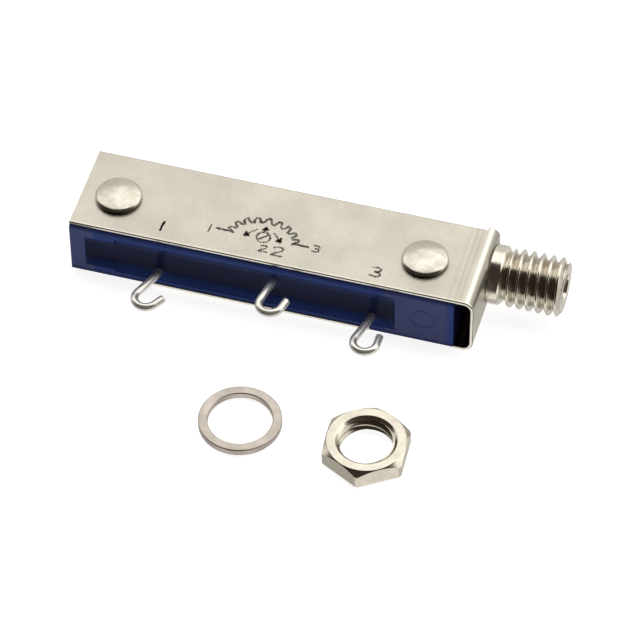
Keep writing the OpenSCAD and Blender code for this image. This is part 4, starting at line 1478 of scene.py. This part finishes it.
@dataclass
class Studio:
    """Camera, floor, sky and lamps, in metres."""

    eye: tuple[float, float, float] = (0.055485, -0.232564, 0.270209)
    right: tuple[float, float, float] = (0.96120, 0.27563, -0.01096)
    up: tuple[float, float, float] = (-0.20146, 0.72859, 0.65466)
    back: tuple[float, float, float] = (0.18843, -0.62705, 0.75585)
    lens_mm: float = 254.8
    sensor_mm: float = 36.0
    clip: Span = (0.01, 20.0)
    ground: float = -0.003035
    floor_half: float = 4.0
    floor_grey: float = 0.50
    floor_glow: float = 0.84
    object_middle: tuple[float, float, float] = (-0.015, 0, 0)
    skew_deg: float = 20.0
    skew_span_deg: Span = (100.0, 130.0)
    sky_level: float = 1.42
    side_share: float = 0.2
    tint: Colour = (1.0, 0.985, 0.945)
    tint_lift: Colour = (0.008, 0.003, 0.0)
    panorama: tuple[Span, ...] = (
        (-180, 0.5), (-168, 0.45), (-100, 0.45), (-88, 0.34), (-72, 0.34), (-60, 0.7), (-34, 0.74),
        (-25, 0.02), (86, 0.02), (98, 1.0), (138, 1.0), (152, 0.48), (180, 0.5))

    def camera(self) -> None:
        """The camera at the photograph's viewing angle."""
        data = bpy.data.cameras.new("view")
        data.lens = self.lens_mm
        data.sensor_width = self.sensor_mm
        data.clip_start, data.clip_end = self.clip
        camera = bpy.data.objects.new("view", data)
        axes = Matrix([self.right, self.up, self.back]).transposed().to_4x4()
        camera.matrix_world = Matrix.Translation(Vector(self.eye)) @ axes
        bpy.context.scene.collection.objects.link(camera)
        bpy.context.scene.camera = camera

    def floor(self) -> None:
        """A wide pale floor: white to the camera, less the object's shadow. Metal mirrors the sky instead."""
        h = self.floor_half
        points = [(x, y, self.ground) for x, y in ((-h, -h), (h, -h), (h, h), (-h, h))]
        mesh = bpy.data.meshes.new("floor")
        mesh.from_pydata(points, [], [(0, 1, 2, 3)])
        floor = bpy.data.objects.new("floor", mesh)
        bpy.context.scene.collection.objects.link(floor)
        mesh.materials.append(self.paper())
        floor.visible_glossy = False

    def paper(self) -> bpy.types.Material:
        """The floor's material: matt grey paper, with a glow for camera rays alone.

        Returns:
            The material.
        """
        material = bpy.data.materials.new("floor_paper")
        tree = empty_tree(material)
        output = tree.nodes.new("ShaderNodeOutputMaterial")
        paper = tree.nodes.new("ShaderNodeBsdfDiffuse")
        paper.inputs["Color"].default_value = (self.floor_grey, self.floor_grey, self.floor_grey, 1)
        glow = tree.nodes.new("ShaderNodeEmission")
        path = tree.nodes.new("ShaderNodeLightPath")
        level = tree.nodes.new("ShaderNodeMath")
        level.operation = "MULTIPLY"
        level.inputs[1].default_value = self.floor_glow
        both = tree.nodes.new("ShaderNodeAddShader")
        tree.links.new(path.outputs["Is Camera Ray"], level.inputs[0])
        tree.links.new(level.outputs[0], glow.inputs["Strength"])
        tree.links.new(paper.outputs[0], both.inputs[0])
        tree.links.new(glow.outputs[0], both.inputs[1])
        tree.links.new(both.outputs[0], output.inputs["Surface"])
        return material

    def sky(self) -> None:
        """The studio all round, as a brightness for each direction.

        The strength is the sky's level, a little more towards X and less away from it, and the colour comes
        from the panorama at the direction's skewed angle.
        """
        world = bpy.data.worlds.new("sky")
        bpy.context.scene.world = world
        tree = empty_tree(world)
        output = tree.nodes.new("ShaderNodeOutputWorld")
        ground = tree.nodes.new("ShaderNodeBackground")
        place = tree.nodes.new("ShaderNodeTexCoord")
        parts = tree.nodes.new("ShaderNodeSeparateXYZ")
        tree.links.new(place.outputs["Generated"], parts.inputs[0])
        colour = self.panorama_colour(tree, self.skewed_angle(tree, parts))
        tree.links.new(colour, ground.inputs["Color"])
        side = tree.nodes.new("ShaderNodeMath")
        side.operation = "MULTIPLY_ADD"
        side.inputs[1].default_value = self.sky_level * self.side_share
        side.inputs[2].default_value = self.sky_level
        tree.links.new(parts.outputs["X"], side.inputs[0])
        tree.links.new(side.outputs[0], ground.inputs["Strength"])
        tree.links.new(ground.outputs[0], output.inputs["Surface"])

    def skewed_angle(self, tree: bpy.types.NodeTree, parts: bpy.types.Node) -> Socket:
        """The direction's angle about X, atan2(z, -y): 0 is the front, 90 degrees overhead and 180 the back.

        Behind the overhead line, x times the skew is taken off, so the softbox lies lower on the right.

        Args:
            tree: The world's node tree.
            parts: The node that gives the direction's X, Y and Z.

        Returns:
            The angle in radians.
        """
        front = tree.nodes.new("ShaderNodeMath")
        front.operation = "MULTIPLY"
        front.inputs[1].default_value = -1.0
        tree.links.new(parts.outputs["Y"], front.inputs[0])
        angle = tree.nodes.new("ShaderNodeMath")
        angle.operation = "ARCTAN2"
        tree.links.new(parts.outputs["Z"], angle.inputs[0])
        tree.links.new(front.outputs[0], angle.inputs[1])
        turn = tree.nodes.new("ShaderNodeMapRange")
        turn.interpolation_type = "SMOOTHSTEP"
        start, end = (math.radians(degrees) for degrees in self.skew_span_deg)
        skew = -math.radians(self.skew_deg)
        for socket, value in (("From Min", start), ("From Max", end), ("To Min", 0.0), ("To Max", skew)):
            turn.inputs[socket].default_value = value
        tree.links.new(angle.outputs[0], turn.inputs["Value"])
        skewed = tree.nodes.new("ShaderNodeMath")
        skewed.operation = "MULTIPLY_ADD"
        tree.links.new(parts.outputs["X"], skewed.inputs[0])
        tree.links.new(turn.outputs["Result"], skewed.inputs[1])
        tree.links.new(angle.outputs[0], skewed.inputs[2])
        return skewed.outputs[0]

    def panorama_colour(self, tree: bpy.types.NodeTree, angle: Socket) -> Socket:
        """The studio's colour for an angle: the panorama's levels with eased steps, all a shade warm.

        Args:
            tree: The world's node tree.
            angle: The angle in radians, from -pi to pi.

        Returns:
            The colour.
        """
        turn = tree.nodes.new("ShaderNodeMapRange")
        for socket, value in (("From Min", -math.pi), ("From Max", math.pi)):
            turn.inputs[socket].default_value = value
        tree.links.new(angle, turn.inputs["Value"])
        ramp = tree.nodes.new("ShaderNodeValToRGB")
        ramp.color_ramp.interpolation = "EASE"
        stops = ramp.color_ramp.elements
        for number, (degrees, level) in enumerate(self.panorama):
            stop = stops[number] if number < 2 else stops.new(1.0)
            stop.position = (degrees + 180) / 360
            stop.color = (*(share * level + lift for share, lift in zip(self.tint, self.tint_lift)), 1)
        tree.links.new(turn.outputs["Result"], ramp.inputs["Fac"])
        return ramp.outputs["Color"]

    def lamp(self, name: str, place: Sequence[float], size: float, power: float) -> None:
        """One square softbox that faces the object's middle, and that metal doesn't show as a highlight.

        Args:
            name: The lamp's name.
            place: Where it hangs.
            size: Side of the square.
            power: Power in watts.
        """
        data = bpy.data.lights.new(name, "AREA")
        data.shape = "SQUARE"
        data.size = size
        data.energy = power
        lamp = bpy.data.objects.new(name, data)
        lamp.location = place
        lamp.rotation_mode = "QUATERNION"
        lamp.rotation_quaternion = (Vector(self.object_middle) - Vector(place)).to_track_quat("-Z", "Y")
        lamp.visible_glossy = False
        bpy.context.scene.collection.objects.link(lamp)

    def build(self) -> None:
        """Everything round the object."""
        self.camera()
        self.floor()
        self.sky()
        self.lamp("overhead", place=(-0.12, 0.30, 0.85), size=0.5, power=1.7)
        self.lamp("front_fill", place=(0.25, -0.80, 0.55), size=0.7, power=1.0)
        bpy.context.scene.view_settings.view_transform = "Standard"


def main() -> None:
    """Builds the studio and every piece in order."""
    logging.basicConfig(level=logging.INFO, format="%(message)s")
    Studio().build()
    CoverStrap().build()
    Rivets().build()
    Bushing().build()
    HexNut().build()
    LockWasher().build()
    HookTerminals().build()
    PottingResin().build()
    PrintedMarks().build()
    Mouldings().build()


if __name__ == "__main__":
    main()
